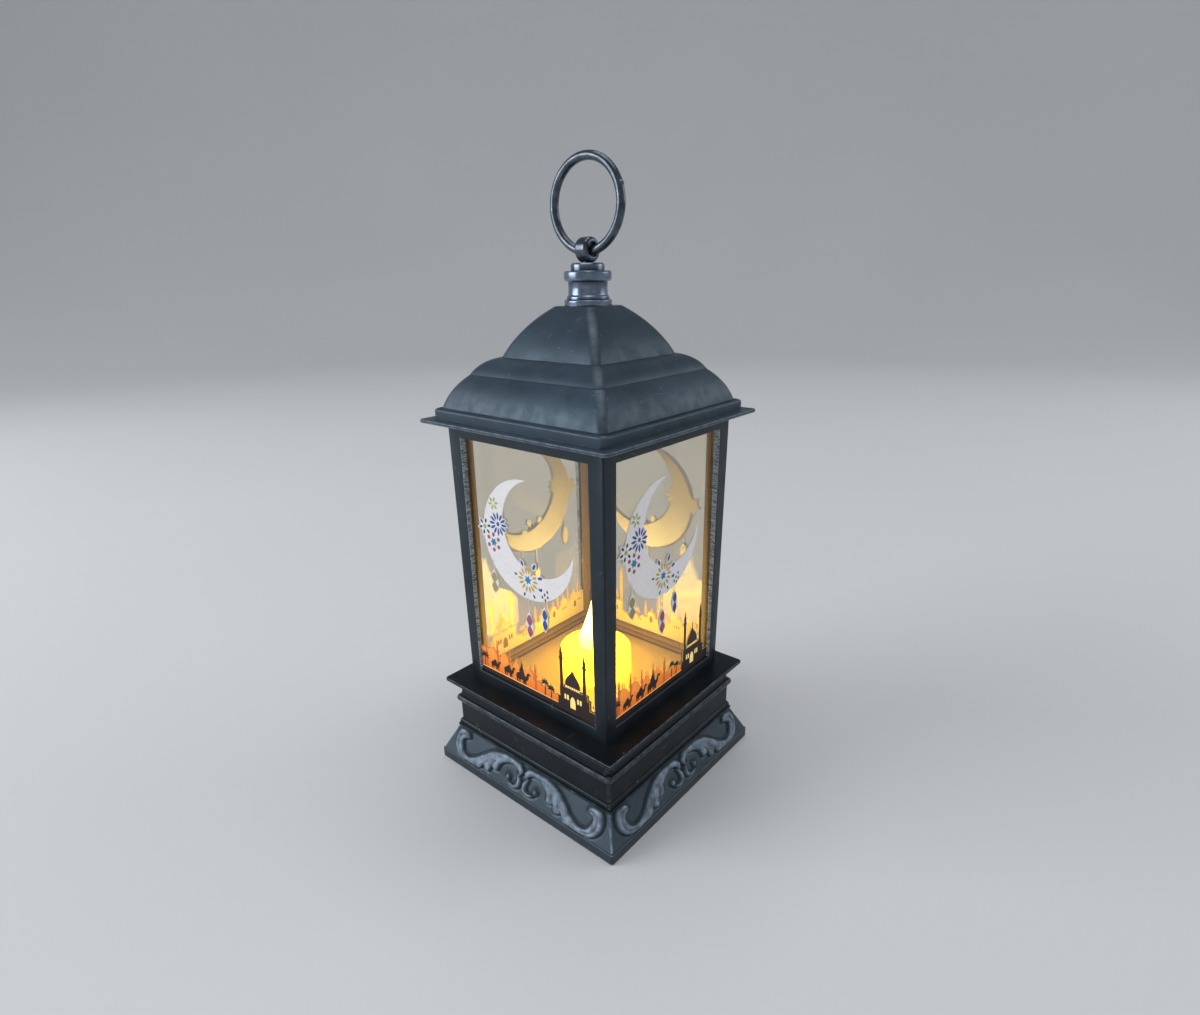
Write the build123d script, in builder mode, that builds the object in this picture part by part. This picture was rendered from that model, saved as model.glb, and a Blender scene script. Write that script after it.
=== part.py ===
from build123d import *
from math import hypot
import os

# A small square lantern with an electric candle, standing on its foot.
# Lengths are in millimetres, +Z is up, and the origin is the middle of the foot on the table.

# Fits and cuts that every piece shares
fit_gap = 0.1
overrun = 1.0

# Plinth: a short lip, then sloping faces with raised scrolls
lip_height = 2.5
plinth_rise = 6.4
plinth_run = 3.3
plinth_ledge = 0.5
plinth_wall = 2.1
scroll_height = 0.5
scroll_root = 0.4
scroll_width = 2.4
scroll_bead_radius = 0.75
scroll_lobe_length = 2.6
scroll_lobe_width = 1.2

# Base tier: two fine steps, a plain wall, a bead, a cove and a flange that is also the floor
tier_setback = 2.15
tier_wall = 2.0
step_rise = 0.45
step_run = 0.3
tier_wall_height = 7.1
tier_bead_height = 1.6
tier_bead_bulge = 0.65
cove_height = 3.2
cove_sagitta = 0.6
flange_reach = 4.75
flange_thickness = 0.75
flange_undercut = 0.8
floor_thickness = 1.8

# Corner frame: four posts between a lower and an upper rail, drawn in a little at the foot
frame_foot_width = 42.4
frame_flare = 0.7
frame_height = 62.9
post_width = 3.2
post_rounding = 0.3
lower_rail_height = 2.85
upper_rail_height = 3.2
frame_peg_radius = 0.9
frame_peg_length = 1.2

# Floor card inside the frame, round the candle
card_thickness = 0.4

# Window panels, dropped into grooves that the eave closes
panel_thickness = 1.0
panel_setback = 1.3
groove_depth = 0.6
panel_top_gap = 0.2

# Eave: a thin flange under a band with a rounded head, one rim down into the frame and one up into the roof
eave_reach = 4.3
eave_thickness = 0.7
eave_band_step = 1.1
eave_band_height = 2.25
eave_band_rounding = 0.6
eave_groove_depth = 0.5
rim_wall = 1.0
rim_depth = 1.6

# Roof: three rounded tiers, hollow inside
roof_reach = 0.95
lower_tier_run = 4.45
lower_tier_height = 6.9
lower_tier_bulge = 0.62
band_run = 4.3
band_height = 3.35
band_bulge = 0.58
dome_step = 0.6
dome_height = 10.15
dome_bulge = 0.86
roof_top_ledge = 0.45
roof_wall = 1.2

# Finial: a turned stem with two rings, held by a screw from inside the roof
finial_ring_radius = 4.95
finial_ring_height = 1.25
finial_ring_shoulder = 0.95
finial_neck_radius = 4.1
finial_neck_height = 2.6
finial_bead_radius = 4.92
finial_bead_height = 2.1
finial_bead_rounding = 0.6
finial_cap_radius = 3.47
finial_cap_height = 1.5
finial_cap_chamfer = 0.3
spigot_radius = 2.4
finial_screw_radius = 1.1
finial_screw_length = 4.6
finial_screw_head_radius = 2.2
finial_screw_head_height = 1.6
washer_radius = 3.5
washer_thickness = 0.6
screw_slot_width = 0.6
screw_slot_depth = 0.5

# Eye and hanging ring
eye_radius = 2.5
eye_hole_radius = 1.5
eye_width = 3.25
eye_rounding = 0.75
eye_shank_radius = 1.1
eye_shank_length = 4.8
ring_radius = 8.82
ring_wire_radius = 0.92
ring_play = 0.25

# Electric candle: a squat hollow body, a lamp through its top and a hollow flame over the lamp
candle_radius = 8.2
candle_height = 7.5
candle_rounding = 1.1
candle_wall = 2.4
candle_spigot_wall = 1.2
candle_top_wall = 3.0
flame_radius = 3.6
flame_height = 12.4
flame_belly_share = 0.12
flame_waist_height_share = 0.6
flame_waist_radius_share = 0.45
flame_bore_height = 5.2
lamp_radius = 2.5
lamp_gap = 0.3
lamp_length = 8.0
lamp_flange_radius = 2.85
lamp_flange_thickness = 1.0
lead_thickness = 0.5
lead_spacing = 2.54
lead_length = 5.0

# Base plate, set up into the foot, with the cell box standing on it
plate_recess = 1.4
plate_thickness = 1.6
cell_radius = 5.8
cell_thickness = 5.4
cell_count = 3
cell_gap = 0.05
cell_side_gap = 0.3
box_wall = 1.2
spring_room = 2.2
contact_thickness = 0.3
contact_width = 7.0
contact_tail_width = 1.6
contact_tail_height = 1.2

# Cell door, hooked at one end and held by a captive screw at the other
door_gap = 0.2
tongue_length = 1.2
tongue_thickness = 0.8
tongue_width = 3.0
tongue_rise = 0.15
tab_radius = 2.8
tab_reach = 3.4
tab_thickness = 0.8
door_screw_radius = 0.9
door_screw_length = 1.5
door_screw_head_radius = 1.6
door_screw_head_height = 0.8
door_screw_play = 0.3

# Screws that clamp the plate, the plinth and the tier together
boss_radius = 2.5
boss_gap = 0.9
screw_radius = 1.1
screw_length = 8.0
screw_head_radius = 2.1
screw_head_height = 0.9

# Slide switch beside the cell box
switch_inset = 7.3
switch_length = 8.6
switch_width = 4.4
switch_height = 4.6
switch_wall = 0.9
carrier_length = 3.4
carrier_height = 1.4
knob_length = 2.0
knob_width = 1.8
knob_proud = 0.9
switch_travel = 2.0
terminal_length = 1.6
terminal_width = 0.8
terminal_thickness = 0.4
terminal_spacing = 2.6

# Wires inside the base
wire_radius = 0.5
wire_bend_share = 0.75

# Scroll drawing on half a plinth face, across from its middle to its corner and up from its foot
scroll_line_shares = [
    (0.188, 0.39), (0.212, 0.27), (0.155, 0.17), (0.080, 0.22), (0.056, 0.48), (0.100, 0.75),
    (0.200, 0.83), (0.315, 0.76), (0.420, 0.57), (0.520, 0.35), (0.630, 0.20), (0.745, 0.14),
    (0.860, 0.22), (0.915, 0.48), (0.900, 0.74), (0.846, 0.85), (0.805, 0.76),
]
scroll_width_shares = [
    0.24, 0.36, 0.50, 0.62, 0.80, 0.90, 0.95, 1.00, 1.00, 0.98, 0.86, 0.76, 0.80, 0.80, 0.66, 0.50, 0.34,
]
scroll_bead_shares = [(0.170, 0.38), (0.815, 0.72)]
scroll_lobe_shares = [(0.335, 0.53), (0.432, 0.33), (0.545, 0.17)]
scroll_lobe_tilt = 62
scroll_steps = 48

# Heights that follow from the stack of pieces
lip_top = lip_height
plinth_top = lip_top + plinth_rise
tier_foot = plinth_top + 2 * step_rise
tier_head = tier_foot + tier_wall_height
tier_bead_top = tier_head + tier_bead_height
flange_under = tier_bead_top + cove_height
floor_top = flange_under + flange_thickness
floor_under = floor_top - floor_thickness
frame_top = floor_top + frame_height
window_foot = floor_top + lower_rail_height
window_head = frame_top - upper_rail_height
groove_foot = window_foot - groove_depth
eave_top = frame_top + eave_thickness
roof_foot = eave_top + eave_band_height
lower_tier_top = roof_foot + lower_tier_height
band_top = lower_tier_top + band_height
roof_top = band_top + dome_height
roof_ceiling = roof_top - roof_wall
finial_neck_foot = roof_top + finial_ring_height + finial_ring_shoulder
finial_bead_foot = finial_neck_foot + finial_neck_height
finial_cap_foot = finial_bead_foot + finial_bead_height
finial_top = finial_cap_foot + finial_cap_height
eye_centre = finial_top + eye_radius
ring_pivot = eye_centre - eye_hole_radius + ring_wire_radius + ring_play
ring_centre = ring_pivot + ring_radius
plate_foot = plate_recess
plate_top = plate_foot + plate_thickness
candle_top = floor_top + candle_height
lamp_seat = candle_top - candle_top_wall
lead_foot = lamp_seat - lamp_flange_thickness - lead_length

# Widths that follow from the frame's foot and from the fits
frame_head_width = frame_foot_width + 2 * frame_flare
flange_width = frame_foot_width + 2 * flange_reach
tier_width = flange_width - 2 * tier_setback
plinth_top_width = tier_width + 2 * plinth_ledge
plinth_width = plinth_top_width + 2 * plinth_run
eave_width = frame_head_width + 2 * eave_reach
lower_tier_width = frame_head_width + 2 * roof_reach
lower_tier_top_width = lower_tier_width - 2 * lower_tier_run
band_top_width = lower_tier_top_width - 2 * band_run
dome_width = band_top_width - 2 * dome_step
roof_top_width = 2 * (finial_ring_radius + roof_top_ledge)
frame_opening = frame_foot_width - 2 * post_width
panel_plane = frame_foot_width / 2 - panel_setback
panel_width = frame_opening + 2 * groove_depth - 2 * fit_gap
plate_width = plinth_width - 2 * plinth_wall
rim_width = frame_opening - 2 * fit_gap
eave_opening = rim_width - 2 * rim_wall
eave_band_width = lower_tier_width + 2 * eave_band_step
candle_bore_radius = candle_radius - candle_wall
candle_spigot_radius = candle_bore_radius + candle_spigot_wall
flame_bore_radius = lamp_radius + lamp_gap
screw_place = tier_width / 2 - tier_wall - boss_gap - boss_radius
cell_box_width = 2 * (cell_radius + cell_side_gap)
switch_place = plate_width / 2 - switch_inset - switch_width / 2
cell_stack = cell_count * cell_thickness + (cell_count - 1) * cell_gap
cell_box_length = cell_stack + spring_room + contact_thickness + 2 * cell_gap
cell_box_top = plate_top + 2 * (cell_radius + cell_side_gap)
cell_axis = plate_top + cell_radius + cell_side_gap
box_left = -cell_box_length / 2
box_right = cell_box_length / 2
stack_right = box_right - contact_thickness - cell_gap
stack_left = stack_right - cell_stack
tab_place = box_right + tab_reach
tail_top = cell_box_top + box_wall + contact_tail_height
wire_level = (tail_top + floor_under) / 2
wire_bend = wire_bend_share * (wire_level - tail_top)


def write(piece, name):
    """Label a finished piece and keep it as its own file."""
    piece.part.label = name
    export_step(piece.part, "parts/" + name + ".step")


def pavilion(outline, reach):
    """Square body whose four sides follow one outline and meet in mitred corners."""
    with BuildPart() as body:
        with BuildSketch(Plane.XZ):
            add(outline)
        extrude(amount=reach, both=True)
        with BuildSketch(Plane.YZ):
            add(outline)
        extrude(amount=reach, both=True, mode=Mode.INTERSECT)
    return body.part


def square_tube(outer, inner, foot, height):
    """Upright square tube about the lantern's axis."""
    with BuildPart() as tube:
        with BuildSketch(Plane.XY.offset(foot)):
            Rectangle(outer, outer)
            Rectangle(inner, inner, mode=Mode.SUBTRACT)
        extrude(amount=height)
    return tube.part


def turned(points, rounds=()):
    """Body of revolution about +Z from half-outline points, with sagittas for its round stretches."""
    bulges = dict(rounds)
    with BuildPart() as body:
        with BuildSketch(Plane.XZ):
            with BuildLine():
                for index, start in enumerate(points):
                    end = points[(index + 1) % len(points)]
                    if index in bulges:
                        SagittaArc(start, end, bulges[index])
                    else:
                        Line(start, end)
            make_face()
        revolve(axis=Axis.Z)
    return body.part


def headed_screw(radius, length, head_radius, head_height):
    """Pan-head screw standing on its head at the origin, with a slot across the head."""
    with BuildPart() as screw:
        Cylinder(head_radius, head_height, align=(Align.CENTER, Align.CENTER, Align.MIN))
        fillet(screw.edges().group_by(Axis.Z)[0], head_height / 3)
        with Locations((0, 0, head_height)):
            Cylinder(radius, length, align=(Align.CENTER, Align.CENTER, Align.MIN))
        Box(
            2 * head_radius, screw_slot_width, 2 * screw_slot_depth,
            mode=Mode.SUBTRACT,
        )
    return screw.part


def tube_along(points):
    """Round wire along straight runs with rounded corners."""
    with BuildPart() as wire:
        with BuildLine() as route:
            FilletPolyline(*points, radius=wire_bend)
        start = Plane(origin=route.line @ 0, z_dir=route.line % 0)
        with BuildSketch(start):
            Circle(wire_radius)
        sweep(path=route.line)
    return wire.part


def share_of_scroll(share):
    """Point of the scroll drawing on its face, from its shares of the half face and the slope."""
    across, up = share
    return (across * plinth_top_width / 2, (up - 1 / 2) * slope_length)


def scroll_stroke():
    """Face of one scroll: a curve through the drawing's points, wider and narrower along its way."""
    guide = Spline(*[share_of_scroll(share) for share in scroll_line_shares])
    left_side = []
    right_side = []
    for step in range(scroll_steps + 1):
        place = step / scroll_steps
        spread = place * (len(scroll_width_shares) - 1)
        first = min(int(spread), len(scroll_width_shares) - 2)
        blend = spread - first
        share = (1 - blend) * scroll_width_shares[first] + blend * scroll_width_shares[first + 1]
        along = guide % place
        side = Vector(-along.Y, along.X) * (share * scroll_width / 2)
        left_side.append(guide @ place + side)
        right_side.append(guide @ place - side)
    with BuildSketch() as stroke:
        with BuildLine():
            Polyline(*left_side, *reversed(right_side), close=True)
        make_face()
    return stroke.sketch


os.makedirs("parts", exist_ok=True)

# Plinth
slope_length = hypot(plinth_run, plinth_rise)
slope_middle = (0, -(plinth_width - plinth_run) / 2, lip_top + plinth_rise / 2)
slope_plane = Plane(origin=slope_middle, x_dir=(1, 0, 0), z_dir=(0, -plinth_rise, plinth_run))

with BuildSketch() as plinth_outline:
    with BuildLine():
        Polyline(
            (0, 0), (plinth_width / 2, 0), (plinth_width / 2, lip_top),
            (plinth_top_width / 2, plinth_top), (0, plinth_top),
        )
        mirror(about=Plane.YZ)
    make_face()

plinth_inner_foot = plate_width / 2 - plinth_wall / 2
plinth_inner_head = plinth_top_width / 2 - plinth_wall
with BuildSketch() as plinth_hollow:
    with BuildLine():
        Polyline(
            (0, -overrun), (plate_width / 2 + fit_gap, -overrun), (plate_width / 2 + fit_gap, plate_top),
            (plinth_inner_foot, plate_top), (plinth_inner_head, plinth_top),
            (plinth_inner_head, plinth_top + overrun), (0, plinth_top + overrun),
        )
        mirror(about=Plane.YZ)
    make_face()

with BuildSketch() as scroll_pair:
    add(scroll_stroke())
    with Locations(*[share_of_scroll(share) for share in scroll_bead_shares]):
        Circle(scroll_bead_radius)
    with Locations(*[share_of_scroll(share) for share in scroll_lobe_shares]):
        Ellipse(scroll_lobe_length / 2, scroll_lobe_width / 2, rotation=scroll_lobe_tilt)
    mirror(about=Plane.YZ)

with BuildPart() as front_scrolls:
    with BuildSketch(slope_plane.offset(-scroll_root)):
        add(scroll_pair.sketch)
    extrude(amount=scroll_root + scroll_height)

with BuildPart() as plinth:
    add(pavilion(plinth_outline.sketch, plinth_width))
    add(pavilion(plinth_hollow.sketch, plinth_width), mode=Mode.SUBTRACT)
    with PolarLocations(0, 4):
        add(front_scrolls.part)
write(plinth, "plinth")

# Base tier
with BuildSketch() as tier_outline:
    with BuildLine():
        half = tier_width / 2
        Polyline(
            (0, plinth_top), (half + 2 * step_run, plinth_top), (half + 2 * step_run, plinth_top + step_rise),
            (half + step_run, plinth_top + step_rise), (half + step_run, tier_foot), (half, tier_foot),
            (half, tier_head),
        )
        SagittaArc((half, tier_head), (half, tier_bead_top), -tier_bead_bulge)
        SagittaArc((half, tier_bead_top), (flange_width / 2 - flange_undercut, flange_under), cove_sagitta)
        Polyline(
            (flange_width / 2 - flange_undercut, flange_under), (flange_width / 2, flange_under),
            (flange_width / 2, floor_top), (0, floor_top),
        )
        mirror(about=Plane.YZ)
    make_face()

with BuildPart() as base_tier:
    add(pavilion(tier_outline.sketch, flange_width))
    with BuildSketch(Plane.XY.offset(plinth_top)):
        Rectangle(tier_width - 2 * tier_wall, tier_width - 2 * tier_wall)
    extrude(amount=floor_under - plinth_top, mode=Mode.SUBTRACT)
    with BuildSketch(Plane.XY.offset(plate_top)):
        with GridLocations(2 * screw_place, 2 * screw_place, 2, 2):
            Circle(boss_radius)
    extrude(amount=floor_under - plate_top)
    with BuildSketch(Plane.XY.offset(plate_top)):
        with GridLocations(2 * screw_place, 2 * screw_place, 2, 2):
            Circle(screw_radius + fit_gap)
    extrude(amount=screw_length, mode=Mode.SUBTRACT)
    with BuildSketch(Plane.XY.offset(floor_top)):
        Circle(candle_spigot_radius + fit_gap)
        with GridLocations(frame_foot_width - post_width, frame_foot_width - post_width, 2, 2):
            Circle(frame_peg_radius + fit_gap)
    extrude(amount=-floor_thickness, mode=Mode.SUBTRACT)
write(base_tier, "base_tier")

# Corner frame
window_width = frame_opening
window_height = window_head - window_foot
with BuildPart() as body_frame:
    with BuildSketch(Plane.XY.offset(floor_top)):
        Rectangle(frame_foot_width, frame_foot_width)
    with BuildSketch(Plane.XY.offset(frame_top)):
        Rectangle(frame_head_width, frame_head_width)
    loft()
    corners = body_frame.edges().filter_by(lambda edge: abs((edge @ 1 - edge @ 0).Z) > frame_height / 2)
    fillet(corners, post_rounding)
    with BuildSketch(Plane.XY.offset(floor_top)):
        Rectangle(frame_opening, frame_opening)
    extrude(amount=frame_height, mode=Mode.SUBTRACT)
    for side in (Plane.XZ, Plane.YZ):
        with BuildSketch(side):
            with Locations((0, window_foot + window_height / 2)):
                Rectangle(window_width, window_height)
        extrude(amount=frame_head_width, both=True, mode=Mode.SUBTRACT)
    with BuildSketch(Plane.XY.offset(groove_foot)):
        with PolarLocations(panel_plane, 4):
            Rectangle(panel_thickness + 2 * fit_gap, panel_width + 2 * fit_gap)
    extrude(amount=frame_top - groove_foot, mode=Mode.SUBTRACT)
    with BuildSketch(Plane.XY.offset(floor_top)):
        with GridLocations(frame_foot_width - post_width, frame_foot_width - post_width, 2, 2):
            Circle(frame_peg_radius)
    extrude(amount=-frame_peg_length)
write(body_frame, "body_frame")

# Floor card
with BuildPart() as floor_card:
    with BuildSketch(Plane.XY.offset(floor_top)):
        Rectangle(frame_opening - 2 * fit_gap, frame_opening - 2 * fit_gap)
        Circle(candle_radius + fit_gap, mode=Mode.SUBTRACT)
    extrude(amount=card_thickness)
write(floor_card, "floor_card")

# Window panels
for turn, side in enumerate(("right", "back", "left", "front")):
    with BuildPart() as panel:
        with BuildSketch(Plane.XY.offset(groove_foot)):
            with PolarLocations(panel_plane, 1, start_angle=turn * 90):
                Rectangle(panel_thickness, panel_width)
        extrude(amount=frame_top - panel_top_gap - groove_foot)
    write(panel, "window_panel_" + side)

# Eave
with BuildSketch() as eave_outline:
    with BuildLine():
        band_foot = (eave_band_width / 2, eave_top)
        band_shoulder = (eave_band_width / 2, roof_foot - eave_band_rounding)
        band_head = (eave_band_width / 2 - eave_band_rounding, roof_foot)
        Polyline(
            (0, frame_top), (eave_width / 2, frame_top), (eave_width / 2, eave_top), band_foot, band_shoulder,
        )
        SagittaArc(band_shoulder, band_head, -eave_band_rounding * (1 - 1 / 2**0.5))
        Polyline(
            band_head, (lower_tier_width / 2, roof_foot - eave_groove_depth),
            (lower_tier_width / 2, roof_foot), (0, roof_foot),
        )
        mirror(about=Plane.YZ)
    make_face()

upper_rim_width = lower_tier_width - 2 * roof_wall - 2 * fit_gap - 2 * lower_tier_bulge
with BuildPart() as eave_frame:
    add(pavilion(eave_outline.sketch, eave_width))
    add(square_tube(rim_width, eave_opening, frame_top - rim_depth, rim_depth))
    add(square_tube(upper_rim_width, upper_rim_width - 2 * rim_wall, roof_foot, rim_depth))
    with BuildSketch(Plane.XY.offset(frame_top)):
        Rectangle(eave_opening, eave_opening)
    extrude(amount=roof_foot - frame_top, mode=Mode.SUBTRACT)
write(eave_frame, "eave_frame")

# Roof
with BuildSketch() as roof_outline:
    with BuildLine():
        Line((0, roof_foot), (lower_tier_width / 2, roof_foot))
        SagittaArc(
            (lower_tier_width / 2, roof_foot), (lower_tier_top_width / 2, lower_tier_top), -lower_tier_bulge,
        )
        SagittaArc((lower_tier_top_width / 2, lower_tier_top), (band_top_width / 2, band_top), -band_bulge)
        Line((band_top_width / 2, band_top), (dome_width / 2, band_top))
        SagittaArc((dome_width / 2, band_top), (roof_top_width / 2, roof_top), -dome_bulge)
        Line((roof_top_width / 2, roof_top), (0, roof_top))
        mirror(about=Plane.YZ)
    make_face()

roof_mouth_width = lower_tier_width - 2 * roof_wall
with BuildSketch() as roof_hollow:
    with BuildLine():
        Line((0, roof_foot - overrun), (roof_mouth_width / 2, roof_foot - overrun))
        Line((roof_mouth_width / 2, roof_foot - overrun), (roof_mouth_width / 2, roof_foot))
        SagittaArc(
            (roof_mouth_width / 2, roof_foot),
            (lower_tier_top_width / 2 - roof_wall, lower_tier_top - roof_wall),
            -lower_tier_bulge,
        )
        Line(
            (lower_tier_top_width / 2 - roof_wall, lower_tier_top - roof_wall),
            (dome_width / 2 - roof_wall, band_top - roof_wall),
        )
        SagittaArc(
            (dome_width / 2 - roof_wall, band_top - roof_wall),
            (roof_top_width / 2 - roof_wall, roof_ceiling),
            -dome_bulge,
        )
        Line((roof_top_width / 2 - roof_wall, roof_ceiling), (0, roof_ceiling))
        mirror(about=Plane.YZ)
    make_face()

with BuildPart() as roof:
    add(pavilion(roof_outline.sketch, lower_tier_width))
    add(pavilion(roof_hollow.sketch, lower_tier_width), mode=Mode.SUBTRACT)
    with BuildSketch(Plane.XY.offset(roof_ceiling)):
        Circle(spigot_radius + fit_gap)
    extrude(amount=roof_wall, mode=Mode.SUBTRACT)
write(roof, "roof")

# Finial with its screw and washer
shoulder_points = [
    (0, roof_ceiling), (spigot_radius, roof_ceiling), (spigot_radius, roof_top),
    (finial_ring_radius, roof_top), (finial_ring_radius, roof_top + finial_ring_height),
    (finial_neck_radius, finial_neck_foot), (finial_neck_radius, finial_bead_foot),
    (finial_bead_radius - finial_bead_rounding, finial_bead_foot),
    (finial_bead_radius, finial_bead_foot + finial_bead_rounding),
    (finial_bead_radius, finial_cap_foot - finial_bead_rounding),
    (finial_bead_radius - finial_bead_rounding, finial_cap_foot), (finial_cap_radius, finial_cap_foot),
    (finial_cap_radius, finial_top - finial_cap_chamfer),
    (finial_cap_radius - finial_cap_chamfer, finial_top), (0, finial_top),
]
bead_sagitta = finial_bead_rounding * (1 - 1 / 2**0.5)
with BuildPart() as finial:
    add(turned(shoulder_points, {4: -bead_sagitta, 7: -bead_sagitta / 2, 9: -bead_sagitta / 2}))
    with Locations((0, 0, finial_top)):
        Cylinder(
            eye_shank_radius + fit_gap, 2 * eye_shank_length,
            mode=Mode.SUBTRACT,
        )
    with Locations((0, 0, roof_ceiling)):
        Cylinder(
            finial_screw_radius + fit_gap, 2 * finial_screw_length,
            mode=Mode.SUBTRACT,
        )
write(finial, "finial")

with BuildPart() as finial_washer:
    with BuildSketch(Plane.XY.offset(roof_ceiling - washer_thickness)):
        Circle(washer_radius)
        Circle(finial_screw_radius + fit_gap, mode=Mode.SUBTRACT)
    extrude(amount=washer_thickness)
write(finial_washer, "finial_washer")

with BuildPart() as finial_screw:
    with Locations((0, 0, roof_ceiling - washer_thickness - finial_screw_head_height)):
        add(headed_screw(
            finial_screw_radius, finial_screw_length, finial_screw_head_radius, finial_screw_head_height,
        ))
write(finial_screw, "finial_screw")

# Eye, screwed into the finial
with BuildPart() as eye_screw:
    with BuildSketch(Plane.YZ.offset(-eye_width / 2)):
        with Locations((0, eye_centre)):
            Circle(eye_radius)
    extrude(amount=eye_width)
    fillet(eye_screw.edges(), eye_rounding)
    with Locations((0, 0, eye_centre - eye_hole_radius)):
        Cylinder(
            eye_shank_radius, eye_radius - eye_hole_radius + eye_shank_length,
            align=(Align.CENTER, Align.CENTER, Align.MAX),
        )
    with BuildSketch(Plane.YZ.offset(-eye_width)):
        with Locations((0, eye_centre)):
            Circle(eye_hole_radius)
    extrude(amount=2 * eye_width, mode=Mode.SUBTRACT)
write(eye_screw, "eye_screw")

# Hanging ring, standing up in the eye
with BuildPart() as hanging_ring:
    with BuildSketch(Plane.YZ):
        with Locations((0, ring_pivot)):
            Circle(ring_wire_radius)
    revolve(axis=Axis((0, 0, ring_centre), (0, 1, 0)))
write(hanging_ring, "hanging_ring")

# Candle body
candle_points = [
    (candle_bore_radius, floor_under), (candle_spigot_radius, floor_under), (candle_spigot_radius, floor_top),
    (candle_radius, floor_top), (candle_radius, candle_top - candle_rounding),
    (candle_radius - candle_rounding, candle_top), (lamp_radius + fit_gap, candle_top),
    (lamp_radius + fit_gap, lamp_seat), (candle_bore_radius, lamp_seat),
]
with BuildPart() as candle_body:
    add(turned(candle_points, {4: -candle_rounding * (1 - 1 / 2**0.5)}))
write(candle_body, "candle_body")

# Flame
flame_tip = candle_top + flame_height
flame_belly = candle_top + flame_belly_share * flame_height
flame_waist = candle_top + flame_waist_height_share * flame_height
flame_bore_top = candle_top + flame_bore_height
with BuildPart() as flame:
    with BuildSketch(Plane.XZ):
        with BuildLine():
            Line((flame_bore_radius, candle_top), (flame_radius - fit_gap, candle_top))
            Spline(
                (flame_radius - fit_gap, candle_top), (flame_radius, flame_belly),
                (flame_waist_radius_share * flame_radius, flame_waist), (0, flame_tip),
            )
            Polyline(
                (0, flame_tip), (0, flame_bore_top), (flame_bore_radius, flame_bore_top - flame_bore_radius),
                (flame_bore_radius, candle_top),
            )
        make_face()
    revolve(axis=Axis.Z)
write(flame, "flame")

# Lamp with its two leads
with BuildPart() as lamp:
    with Locations((0, 0, lamp_seat - lamp_flange_thickness)):
        Cylinder(lamp_flange_radius, lamp_flange_thickness, align=(Align.CENTER, Align.CENTER, Align.MIN))
        Cylinder(lamp_radius, lamp_length, align=(Align.CENTER, Align.CENTER, Align.MIN))
    fillet(lamp.edges().sort_by(Axis.Z)[-1], lamp_radius - fit_gap)
    with Locations((0, 0, lamp_seat - lamp_flange_thickness)):
        with GridLocations(lead_spacing, 0, 2, 1):
            Box(
                lead_thickness, lead_thickness, lead_length,
                align=(Align.CENTER, Align.CENTER, Align.MAX),
            )
write(lamp, "lamp")

# Base plate with the cell box
tab_hole_radius = door_screw_radius + door_screw_play
with BuildPart() as base_plate:
    with BuildSketch(Plane.XY.offset(plate_foot)):
        Rectangle(plate_width, plate_width)
    extrude(amount=plate_thickness)
    with BuildSketch(Plane.XY.offset(plate_top)):
        Rectangle(cell_box_length + 2 * box_wall, cell_box_width + 2 * box_wall)
    extrude(amount=cell_box_top + box_wall - plate_top)
    with BuildSketch(Plane.XY.offset(plate_foot)):
        Rectangle(cell_box_length, cell_box_width)
    extrude(amount=cell_box_top - plate_foot, mode=Mode.SUBTRACT)
    with BuildSketch(Plane.XY.offset(plate_foot)):
        with Locations((tab_place, 0)):
            Circle(tab_radius + door_gap)
        with Locations(((box_right + tab_place) / 2, 0)):
            Rectangle(tab_reach, 2 * (tab_radius + door_gap))
    extrude(amount=tab_thickness + door_gap, mode=Mode.SUBTRACT)
    with BuildSketch(Plane.XY.offset(plate_foot)):
        with Locations((tab_place, 0)):
            Circle(tab_hole_radius)
        with GridLocations(2 * screw_place, 2 * screw_place, 2, 2):
            Circle(screw_radius + fit_gap)
        with Locations((-switch_travel / 2, switch_place)):
            Rectangle(knob_length + switch_travel + 4 * fit_gap, knob_width + 4 * fit_gap)
    extrude(amount=plate_thickness, mode=Mode.SUBTRACT)
    with BuildSketch(Plane.XY.offset(plate_foot)):
        with GridLocations(2 * screw_place, 2 * screw_place, 2, 2):
            Circle(screw_head_radius + fit_gap)
    extrude(amount=screw_head_height, mode=Mode.SUBTRACT)
    with BuildSketch(Plane.XY.offset(cell_box_top)):
        with Locations((box_right - contact_thickness / 2, 0), (box_left + contact_thickness / 2, 0)):
            Rectangle(contact_thickness + 2 * fit_gap, contact_tail_width + 2 * fit_gap)
    extrude(amount=box_wall, mode=Mode.SUBTRACT)
    tongue_room = tongue_width + 2 * door_gap
    with BuildSketch(Plane.XY.offset(plate_top)):
        with Locations((box_left - box_wall / 2, 0)):
            with GridLocations(0, cell_box_width - tongue_room, 1, 2):
                Rectangle(box_wall, tongue_room)
    extrude(amount=tongue_thickness + tongue_rise + tongue_length, mode=Mode.SUBTRACT)
write(base_plate, "base_plate")

with BuildPart() as base_screws:
    with GridLocations(2 * screw_place, 2 * screw_place, 2, 2):
        with Locations((0, 0, plate_foot)):
            add(headed_screw(screw_radius, screw_length, screw_head_radius, screw_head_height))
write(base_screws, "base_screws")

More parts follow.
